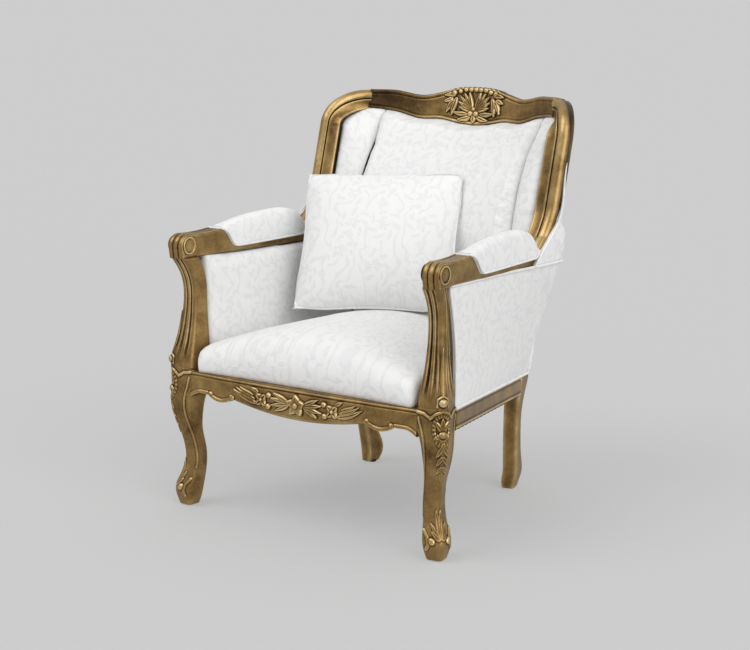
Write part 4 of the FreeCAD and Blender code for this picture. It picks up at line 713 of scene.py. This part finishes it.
def front_rail():
    cols, rows = 520, 64
    x = np.linspace(-328, 328, cols)
    a = np.abs(x)
    scallop = 13 * np.clip(1 - ((a - 231.5) / 36.5) ** 2, 0, None)
    low = np.where(a < 195, 274 + 22 * (a / 195) ** 2, 296 - scallop)
    low = low - 13 * fade(a, 296, 328) ** 2
    X, Z, A, from_low = board(x, low, RAIL_TOP, rows)
    ground = 2.4 * bead(Z, 344, 2.6) - 1.6 * bead(Z, 338.5, 2)
    ground = ground - 4 * fade(from_low, 5, 0) ** 2
    petals = [leaf(X, Z, 0, 310, 90 + 72 * k, 27, 11.5, 8, vein=0.12) for k in range(5)]
    hub = dome(X, Z, 0, 310, 8.5, 10)
    fans = [leaf(A, Z, 22, 308 + 2 * k, a0, length, 6.4, 6.5)
            for k, (a0, length) in enumerate(((-26, 44), (-9, 54), (8, 54), (24, 46)))]
    beads = highest(dome(A, Z, 80, 324, 7, 7), dome(A, Z, 82, 297, 7, 7))
    rosette = [leaf(A, Z, 103, 310, 45 + 90 * k, 19, 9, 6, vein=0.6) for k in range(4)]
    button = dome(A, Z, 103, 310, 5, 7)
    curls = [
        leaf(A, Z, 116, 300, 6, 74, 8, 6.5, bend=0.24),
        leaf(A, Z, 122, 309, 4, 58, 7, 6, bend=0.32),
        leaf(A, Z, 128, 318, 2, 40, 6, 5, bend=0.36),
        leaf(A, Z, 112, 326, 28, 22, 5.5, 5),
    ]
    along = np.linspace(192, 266, 14)
    scroll = ridge(A, Z, list(zip(along, np.interp(along, x[cols // 2:], low[cols // 2:]) + 6)), 5.2, 4.6)
    scroll = highest(scroll, dome(A, Z, 262, 300, 7, 5.5), dome(A, Z, 196, 303, 6, 5))
    along = np.linspace(272, 328, 12)
    curve = ridge(A, Z, list(zip(along, np.interp(along, x[cols // 2:], low[cols // 2:]) + 6)), 5, 4.2)
    carved = highest(hub, beads, button, scroll, curve, *petals, *fans, *rosette, *curls)
    shade = dome(X, Z, 0, 306, 190, 1.6, 40)
    H = np.where(carved > 0.05, carved, ground - shade)
    bow = FRONT + 10 * (x / 328) ** 2
    front = np.stack([X, bow[:, None] - H + 1.5, Z], -1)
    rear = np.stack([
        np.c_[x, bow + 8, np.full(cols, RAIL_TOP)],
        np.c_[x * 0.978, np.full(cols, -369), np.full(cols, RAIL_TOP)],
        np.c_[x * 0.978, np.full(cols, -369), low + 1],
    ], 1)
    grid = np.concatenate([front, rear], 1)
    tone = np.concatenate([wear_and_shade(H, 5, 1.1), np.zeros((cols, 3))], 1)
    wood("front_rail_carved", grid, tone, ("front_rail",))


def side_rail():
    # out, up and tone; the tone is painted shade in the hollows and a painted highlight on the beads, with
    # dirt and wear
    profile = np.array([
        (-30, 0, 0), (-12, 0, 0), (-2, 0, 0.2), (0.6, -1.4, 0.9), (1.2, -4, 0.5), (0.4, -6.6, -0.2),
        (-1.4, -8, -0.9), (-1.2, -10, -0.4), (0, -13, 0), (0, -22, 0), (0, -34, 0), (-0.4, -38, -0.3),
        (-1.4, -39.5, -0.9), (0.6, -41, 0.1), (1.4, -43.5, 0.7), (0.8, -46.4, 0.4), (-1.6, -48, 0),
        (-12, -48, -0.3), (-30, -48, -0.3),
    ])
    rows = []
    for share in np.linspace(0, 1, 40):
        ring = []
        for out, up, _ in profile:
            first = KNEE + max(-out, 0) * math.tan(SPLAY) if share < 0.5 else KNEE
            run = first + (586 - first) * share
            flat = CORNER + ALONG * run - INWARD * out
            ring.append((*flat, RAIL_TOP - FALL * run + up))
        rows.append(ring)
    wood_pair("side_rail", np.array(rows), np.tile(profile[:, 2], (40, 1)))


# Rear legs: kicked back at the heel, and going on up as posts inside the back

def rear_leg():
    # level, front outer corner, width and depth
    stations = np.array([
        (3, 237, 186, 31, 41), (18, 240, 188, 37, 48), (40, 244, 190, 39, 54), (62, 246, 188, 39, 51),
        (90, 248, 184, 39, 43), (140, 252, 177, 39, 37), (190, 255, 173, 39, 37), (240, 260, 171, 40, 45),
        (286, 265, 171, 40, 64), (300, 264, 174, 40, 62), (312, 255, 186, 30, 48), (345, 252, 196, 28, 42),
        (600, 269, 228, 27, 41), (800, 281, 262, 26, 36), (935, 289, 292, 22, 28),
    ])
    levels = np.r_[np.linspace(3, 345, 90), np.linspace(352, 935, 30)]
    at = spline(stations[:, 0], stations[:, 1:], levels)
    shares = np.linspace(0, 1, 72, endpoint=False)
    rows, tones = [], []
    for level, (x, y, wide, deep) in zip(levels, at):
        corner = np.array([x, y])
        inner, rear = INWARD * wide, ALONG * deep
        outline = [corner, corner + inner, corner + inner + rear, corner + rear]
        ring, length = rounded(outline, [8, 6, 8, 8], shares)
        rows.append(np.c_[ring, np.full(72, level)])
        corners = np.cumsum([0, wide, deep, wide]) / (2 * (wide + deep))
        apart = np.abs(shares[:, None] - np.r_[corners, 1][None, :]).min(1) * length
        # lighter along the rounded corners: a painted highlight, with wear
        tones.append(0.6 * bead(apart, 0, 7) - 0.1)
    wood_pair("rear_stile", np.array(rows), np.array(tones))


front_leg()
rear_leg()
arm_post()
arm()
stile_inside = wing_stile()
crest()
front_rail()
side_rail()


# Upholstery

def soft_mesh(name, node, grow, voxel):
    """A remeshed copy of a soft solid, moved out by grow millimetres."""
    item = link_object(name, nodes[node].data.copy())
    shaper = item.modifiers.new("remesh", "REMESH")
    shaper.mode = "VOXEL"
    shaper.voxel_size = voxel * MM
    graph = bpy.context.evaluated_depsgraph_get()
    mesh = bpy.data.meshes.new_from_object(item.evaluated_get(graph))
    item.modifiers.clear()
    item.data = mesh
    work = bmesh.new()
    work.from_mesh(mesh)
    for _ in range(6):
        bmesh.ops.smooth_vert(
            work, verts=work.verts, factor=0.5, use_axis_x=True, use_axis_y=True, use_axis_z=True,
        )
    work.normal_update()
    for vert in work.verts:
        vert.co += vert.normal * (grow * MM)
    work.to_mesh(mesh)
    work.free()
    return item


def stuff(item, cap, pressure=4.0):
    """Swells the cover by simulation, and lets no point move further than the cap."""
    count = len(item.data.vertices)
    rest = np.empty(count * 3)
    item.data.vertices.foreach_get("co", rest)
    rest = rest.reshape(-1, 3)
    cloth = item.modifiers.new("stuffing", "CLOTH")
    cloth.settings.quality = 4
    cloth.settings.use_pressure = True
    cloth.settings.uniform_pressure_force = pressure
    cloth.settings.effector_weights.gravity = 0
    cloth.settings.bending_stiffness = 2.0
    cloth.point_cache.frame_end = 24
    scene = bpy.context.scene
    for step in range(1, 21):
        scene.frame_set(step)
    graph = bpy.context.evaluated_depsgraph_get()
    swollen = item.evaluated_get(graph).to_mesh()
    moved = np.empty(count * 3)
    swollen.vertices.foreach_get("co", moved)
    item.evaluated_get(graph).to_mesh_clear()
    item.modifiers.clear()
    scene.frame_set(1)
    shift = moved.reshape(-1, 3) - rest
    size = np.linalg.norm(shift, axis=1, keepdims=True)
    return rest + shift * np.minimum(1, cap * MM / np.maximum(size, 1e-9))


def cushion(name, node, stands_for, lay, grow=0.0, voxel=6.0, cap=6.0, pair=False, settle=None):
    item = soft_mesh(name, node, grow, voxel)
    points = stuff(item, cap) / MM
    if settle:
        points = settle(points)
    faces = [list(p.vertices) for p in item.data.polygons]
    bpy.data.objects.remove(item)
    sides = (("_right", points), ("_left", flip(points))) if pair else (("", points),)
    for side, place in sides:
        replaced = [n + side for n in stands_for]
        label = name + side + "_soft"
        piece = build(label, place, faces, DAMASK, stands_for=replaced, fabric=lay(place))
        piece.modifiers.new("smooth", "SUBSURF").render_levels = 1


def tube(name, path, radius, closed=False):
    """A welt: a thin covered cord along a path."""
    path = np.asarray(path, float)
    count = len(path)
    ahead = np.roll(path, -1, 0) - np.roll(path, 1, 0)
    if not closed:
        ahead[0], ahead[-1] = path[1] - path[0], path[-1] - path[-2]
    ahead = unit(ahead)
    side = unit(np.cross(ahead, (0.31, 0.22, 0.92)))
    up = np.cross(side, ahead)
    sides = 10
    turn = np.linspace(0, 2 * math.pi, sides, endpoint=False)
    cos, sin = np.cos(turn)[:, None], np.sin(turn)[:, None]
    rings = path[:, None] + radius * (cos * side[:, None] + sin * up[:, None])
    if closed:
        rings = np.concatenate([rings, rings[:1]])
    faces = grid_faces(len(rings), sides, True)
    run = np.repeat(np.linspace(0, 4 * count, len(rings)), sides)
    fabric = np.c_[run, np.tile(turn * radius, len(rings))]
    return build(name, rings.reshape(-1, 3), faces, DAMASK, fabric=fabric)


def tube_pair(name, path, radius, closed=False):
    tube(name + "_right", path, radius, closed)
    tube(name + "_left", flip(path), radius, closed)


def on_the_rails(points):
    """The seat's lower edge drawn down to the rails, its front corners out to the posts."""
    x, y, z = points.T
    corner = fade(np.abs(x), 180, 280) * fade(y, -200, -320)
    x = x + np.sign(x) * 14 * corner
    y = y - 6 * corner
    z = z - 11 * fade(z - rail_top(y), 40, 10)
    return np.c_[x, y, np.maximum(z, rail_top(y) - 1)]


def under_the_crest(points):
    """The back's upper edge drawn up and tucked behind the crest, its corners out to the wings."""
    x, y, z = points.T
    up = fade(z, 850, 910)
    x = x + np.sign(x) * 10 * up * fade(np.abs(x), 150, 230)
    z = z + 16 * up
    share = np.abs(x) / (CREST_RADIUS * math.sin(CREST_HALF))
    edge = crest_arc(CREST_RADIUS + 12, np.arcsin(x / CREST_RADIUS), crest_low(share))
    _, edge_y, edge_z = crest_place(edge).T
    y = y + fade(z - edge_z, -9, 0) ** 2 * np.maximum(edge_y - y, 0)
    return np.c_[x, y, np.minimum(z, edge_z + 8)]


cushion("seat", "seat_foam", ("seat_foam", "seat_cover"), lambda p: np.c_[p[:, 0], p[:, 1] - p[:, 2]],
        grow=4, cap=7, settle=on_the_rails)
cushion("back", "back_foam", ("back_foam", "back_cover"), lambda p: np.c_[p[:, 0], p[:, 2] + p[:, 1] * 0.4],
        grow=9, cap=7, settle=under_the_crest)
cushion("inside_arm", "inside_arm_right", ("inside_arm",), lambda p: np.c_[p[:, 1], p[:, 2]],
        grow=2, cap=5, pair=True)


def slab(front, rear):
    """Points and faces of a closed sheet between two grids."""
    rows, cols = front.shape[:2]
    far = rows * cols
    faces = grid_faces(rows, cols, False)
    faces += [[i + far for i in reversed(f)] for f in faces]
    index = np.arange(far).reshape(rows, cols)
    rim = [*index[0], *index[1:, -1], *index[-1, -2::-1], *index[-2:0:-1, 0]]
    rim = [int(i) for i in rim]
    faces += [[a, b, b + far, a + far] for a, b in zip(rim, rim[1:] + rim[:1])]
    return np.vstack([front.reshape(-1, 3), rear.reshape(-1, 3)]), faces, rim


def soft_pair(name, node, points, faces, fabric):
    for side, place in (("right", points), ("left", flip(points))):
        replaced = (f"{node}_{side}",)
        piece = build(f"{name}_{side}", place, faces, DAMASK, stands_for=replaced, fabric=fabric)


def panel(name, lines, marks, node, crown, thick=7.0):
    """A tight outside cover through lines at shares of its height, slightly crowned. Gives its border."""
    face = spline(marks, [along_line(line, 61) for line in lines], np.linspace(0, 1, 41))
    run = np.gradient(face, axis=1)
    out = unit(np.stack([run[..., 1], -run[..., 0], np.zeros(run.shape[:2])], -1))
    u, w = np.linspace(-1, 1, 61)[None, :], np.linspace(-1, 1, 41)[:, None]
    swell = crown * (1 - u ** 6) * (1 - w ** 6)
    points, faces, rim = slab(face + out * swell[..., None], face - out * thick)
    lay = np.c_[points[:, 1] * 0.97 - points[:, 0] * 0.2, points[:, 2]]
    soft_pair(name, node, points, faces, lay)
    return (face + out * 1.6).reshape(-1, 3)[rim]


WALL = [-240.0, -99.0, 0.0, 84.0, 130.0, 172.0]
REAR_LOW = CORNER + ALONG * 649 + INWARD * 2
WING_CORNER = np.array([270.5, 268.0])


def arm_wall_line(share, start):
    """A level line of the outside arm, from the arm post to the rear of the chair."""
    def level(y):
        return rail_top(y) + 0.5 + share * (arm_under(y) - rail_top(y) - 1)

    line = [wall(y, level(y), 2 - 13 * share ** 2 * fade(y, -50, 40)) for y in [start, *WALL]]
    end = REAR_LOW + (WING_CORNER - REAR_LOW) * share
    middle = (line[-1][:2] + end) / 2 + np.array([7, 7]) * share
    return line + [np.array([*middle, level(middle[1])]), np.array([*end, level(end[1])])]


def outside_arm():
    marks = (0.0, 0.6, 1.0)
    starts = (-328.0, -327.0, -349.0)
    lines = [arm_wall_line(share, start) for share, start in zip(marks, starts)]
    border = panel("outside_arm_cover", lines, marks, "outside_arm", 4.0)
    tube_pair("outside_arm_welt", border, 3.6, closed=True)


def outside_wing():
    """From the rear of the arm, whose end it covers, up behind the wing stile."""
    foot = arm_wall_line(1.0, 32.0)
    lines = (
        foot[:1] + foot[4:],
        [(374, 66, 640), (374, 172, 640), (325, 222, 640), (273, 271, 640)],
        [(375, 106, 672), (374, 176, 672), (328, 220, 672), (275, 275, 672)],
        [(373, 140, 700), (362, 180, 700), (330, 217, 700), (278, 278, 700)],
        [(368, 178, 790), (356, 206, 790), (332, 236, 790), (287, 287, 790)],
        [(356, 228, 930), (346, 246, 930), (330, 266, 930), (300, 300, 930)],
    )
    border = panel("outside_wing_cover", lines, (0.0, 0.1, 0.2, 0.288, 0.567, 1.0), "outside_wing", 3.0)
    tube_pair("outside_wing_welt", np.vstack([border[160:], border[:1]]), 3.0)


def wing_pad():
    """From the stile's inner edge to the side of the inside back."""
    rows, cols = 70, 34
    outer = along_line(np.vstack([stile_inside, stile_inside[-1] + (-6, 6, 16)]), rows)
    share = np.linspace(0, 1, rows)
    level = 600 + 340 * share
    side = spline([407, 606, 683, 772, 882, 960], [140, 128, 139, 172, 251, 317], level)
    inner = np.c_[np.full(rows, 238.0), side + 20, level]
    u = np.linspace(0, 1, cols)
    face = outer[:, None] * (1 - u)[:, None] + inner[:, None] * u[:, None]
    normal = unit(np.cross(np.gradient(face, axis=0), np.gradient(face, axis=1)))
    normal *= -np.sign(normal[..., 1].mean())
    plump = (1 - np.abs(2 * u - 1) ** 3.2)[None, :] * (1 - np.abs(2 * share - 1) ** 14)[:, None]
    points, faces, _ = slab(face + normal * (17 * plump)[..., None], face - normal * 12)
    lay = np.c_[points[:, 0] * 0.6 - points[:, 1] * 0.8, points[:, 2]]
    soft_pair("wing_pad_soft", "wing_pad", points, faces, lay)


def arm_pad():
    """A long low bolster from the step behind the handhold to its round end at the sweep of the wing."""
    rows = 80
    t = np.sin(np.linspace(0, math.pi / 2, rows))
    y = -254 + 316 * t
    foot = arm_top(y) + 0.6
    blunt = bulge(fade(t, 0.9, 1.0002))
    top = spline([0, 0.1, 0.35, 0.62, 0.8, 0.92, 1], [681, 688, 699, 703, 700, 690, 681], t)
    top = foot + (top - foot) * blunt
    half = 28.5 * (0.88 + 0.12 * blunt) * (1 - 0.12 * (1 - t) ** 6)
    turn = np.linspace(0, math.pi, 33)
    across = np.sign(np.cos(turn)) * np.abs(np.cos(turn)) ** 0.62
    up = np.sin(turn) ** 0.85
    grid = np.stack([
        arm_x(y)[:, None] + half[:, None] * across[None, :],
        np.repeat(y[:, None], 33, 1),
        foot[:, None] + (top - foot)[:, None] * up[None, :],
    ], -1)
    faces = grid_faces(rows, 33, True) + [list(range(33)), list(range((rows - 1) * 33, rows * 33))]
    points = grid.reshape(-1, 3)
    soft_pair("arm_pad_soft", "arm_pad", points, faces, np.c_[points[:, 1], points[:, 0] + points[:, 2]])
    outer, inner = (np.c_[arm_x(y) + way * (half + 1.2), y, foot + 3] for way in (1, -1))
    tube_pair("arm_pad_welt", np.vstack([outer, inner[::-1]]), 2.8, closed=True)


def outside_back():
    u = np.linspace(-1, 1, 81)[None, :]
    v = np.linspace(0, 1, 61)[:, None]
    half, ends, middle = 250 + 50 * v, 237 + 68 * v, 244 + 142 * v
    low, top = 303, 945 - 30 * (1 - u ** 2) ** 2
    face = np.stack([half * u, middle - (middle - ends) * u ** 2, low + (top - low) * v], -1)
    swell = 4 * (1 - u ** 6) * (1 - (2 * v - 1) ** 6)
    rear = face + np.array([0, 8, 0])
    rear[..., 1] += swell
    points, faces, _ = slab(rear, face)
    lay = np.c_[points[:, 0], points[:, 2]]
    piece = build("outside_back_cover", points, faces, DAMASK,
                  stands_for=("outside_back",), fabric=lay)


def dust_cover():
    """The black cloth tacked under the rails, sagging a little between them."""
    corners = np.array([v.co for v in nodes["dust_cover"].data.vertices]) / MM
    front, rear = corners[:, 1].min(), corners[:, 1].max()
    wide, legs = corners[:, 0].max(), corners[corners[:, 0].argmax(), 1]
    narrow = corners[corners[:, 1] < front + 1, 0].max()
    end = corners[corners[:, 1] > rear - 1, 0].max()
    y = np.r_[np.linspace(front, legs - 1, 8), np.linspace(legs, rear, 60)]
    half = np.where(y < legs, narrow, wide + (end - wide) * (y - legs) / (rear - legs))
    u = np.linspace(-1, 1, 61)
    v = 2 * (y - front) / (rear - front) - 1
    level = np.polyval(np.polyfit(corners[:, 1], corners[:, 2], 1), y)
    sag = 7 * np.outer(1 - v ** 2, 1 - u ** 2)
    pucker = 0.8 * np.sin(u * 70) * np.outer(v ** 12, np.ones(61)) + 0.8 * np.outer(np.sin(v * 62), u ** 12)
    face = np.stack([np.outer(half, u), np.repeat(y[:, None], 61, 1), level[:, None] - sag + pucker], -1)
    points, faces, _ = slab(face + (0, 0, 0.4), face - (0, 0, 0.4))
    piece = build("dust_cover_cloth", points, faces, DUST, stands_for=("dust_cover",))


outside_arm()
outside_wing()
dust_cover()
outside_back()
wing_pad()
arm_pad()


# Throw pillow: pulled in between its pointed corners

def pillow():
    wide, tall, thick = 414.0, 372.0, 150.0
    n, m = 61, 55
    spread = 0.48 * math.pi  # closer rows toward the seams
    u, w = (np.sin(np.linspace(-1, 1, k) * spread) / math.sin(spread) for k in (n, m))
    U, W = np.meshgrid(u, w, indexing="ij")
    x = U * wide / 2 * (1 - 0.035 * (1 - W ** 2))
    z = W * tall / 2 * (1 - 0.03 * (1 - U ** 2)) + tall / 2
    plump = (np.clip((1 - np.abs(U) ** 2.4) * (1 - np.abs(W) ** 2.4), 0, 1)) ** 0.55
    y = thick / 2 * plump
    front, back = np.stack([x, -y, z], -1).reshape(-1, 3), np.stack([x, y, z], -1).reshape(-1, 3)
    index = np.arange(n * m).reshape(n, m)
    rim = np.zeros((n, m), bool)
    rim[[0, -1], :] = rim[:, [0, -1]] = True
    other = np.where(rim, index, n * m + np.cumsum(~rim.ravel()).reshape(n, m) - 1)
    faces = grid_faces(n, m, False)
    faces += [[int(other.ravel()[i]) for i in reversed(f)] for f in faces]
    points = np.vstack([front, back[~rim.ravel()]])
    fabric = np.c_[points[:, 0] + np.where(np.arange(len(points)) < n * m, 0, 500), points[:, 2]]
    mesh = bpy.data.meshes.new("pillow_start")
    mesh.from_pydata((points * MM).tolist(), [], faces)
    item = link_object("pillow_start", mesh)
    points = stuff(item, 9.0, 3.0) / MM
    bpy.data.objects.remove(item)
    turns = ((20.6, "Z"), (-1.7, "Y"), (-29, "X"))
    turn, tip, lean = (Matrix.Rotation(math.radians(angle), 3, axis) for angle, axis in turns)
    place = points @ np.array(turn @ tip @ lean).T + np.array([-40, -46, 468.0])
    piece = build("pillow_soft", place, faces, DAMASK, body="pillow",
                  stands_for=("pillow_cover", "pillow_filling"), fabric=fabric)
    piece.modifiers.new("smooth", "SUBSURF").render_levels = 1


pillow()


# Floor, light and camera

def studio():
    material, surface, feed, *_ = shader("floor")
    # The floor has a dark base colour and glows a little: painted light that keeps it evenly pale and
    # lightens the chair's shadow on it.
    feed(surface, {
        "Base Color": (0.25, 0.25, 0.25, 1),
        "Roughness": 0.9,
        "Specular IOR Level": 0.0,
        "Emission Color": (1, 1, 1, 1),
        "Emission Strength": 0.34,
    })
    mesh = bpy.data.meshes.new("floor")
    reach = 300.0
    corners = [(-reach, -reach, 0), (reach, -reach, 0), (reach, reach, 0), (-reach, reach, 0)]
    mesh.from_pydata(corners, [], [(0, 1, 2, 3)])
    mesh.materials.append(material)
    link_object("floor", mesh)
    world = bpy.data.worlds.new("studio")
    world.use_nodes = True
    feed, add, ramp, _ = tools(world.node_tree)
    height = add("SeparateXYZ", {0: add("TexCoord").outputs["Generated"]}).outputs[2]
    sky = [(place, (level,) * 3) for place, level in ((0.0, 0.86), (0.06, 0.86), (0.14, 0.5), (0.55, 1.0))]
    feed(world.node_tree.nodes["Background"], {"Color": ramp(height, sky), "Strength": 0.70})
    bpy.context.scene.world = world
    suns = (("key", (0.45, 0.62, -1.0), 0.9, 40), ("fill", (-0.85, 0.35, -0.5), 1.4, 60))
    for name, aim, power, spread in suns:
        sun = bpy.data.lights.new(name, "SUN")
        sun.energy, sun.angle = power, math.radians(spread)
        link_object(name, sun).rotation_euler = Vector(aim).to_track_quat("-Z", "Y").to_euler()


def photo_camera():
    data = bpy.data.cameras.new("camera")
    data.sensor_width, data.lens = 36.0, 82.49
    camera = link_object("camera", data)
    azimuth, lift = math.radians(34.88), math.radians(11.55)
    back = Vector((math.sin(azimuth) * math.cos(lift), -math.cos(azimuth) * math.cos(lift), math.sin(lift)))
    camera.location = (2.353, -3.464, 1.288)
    camera.rotation_mode = "QUATERNION"
    camera.rotation_quaternion = (-back).to_track_quat("-Z", "Y")
    data.clip_end = 1000
    bpy.context.scene.camera = camera


studio()
photo_camera()
bpy.context.scene.view_settings.view_transform = "Standard"
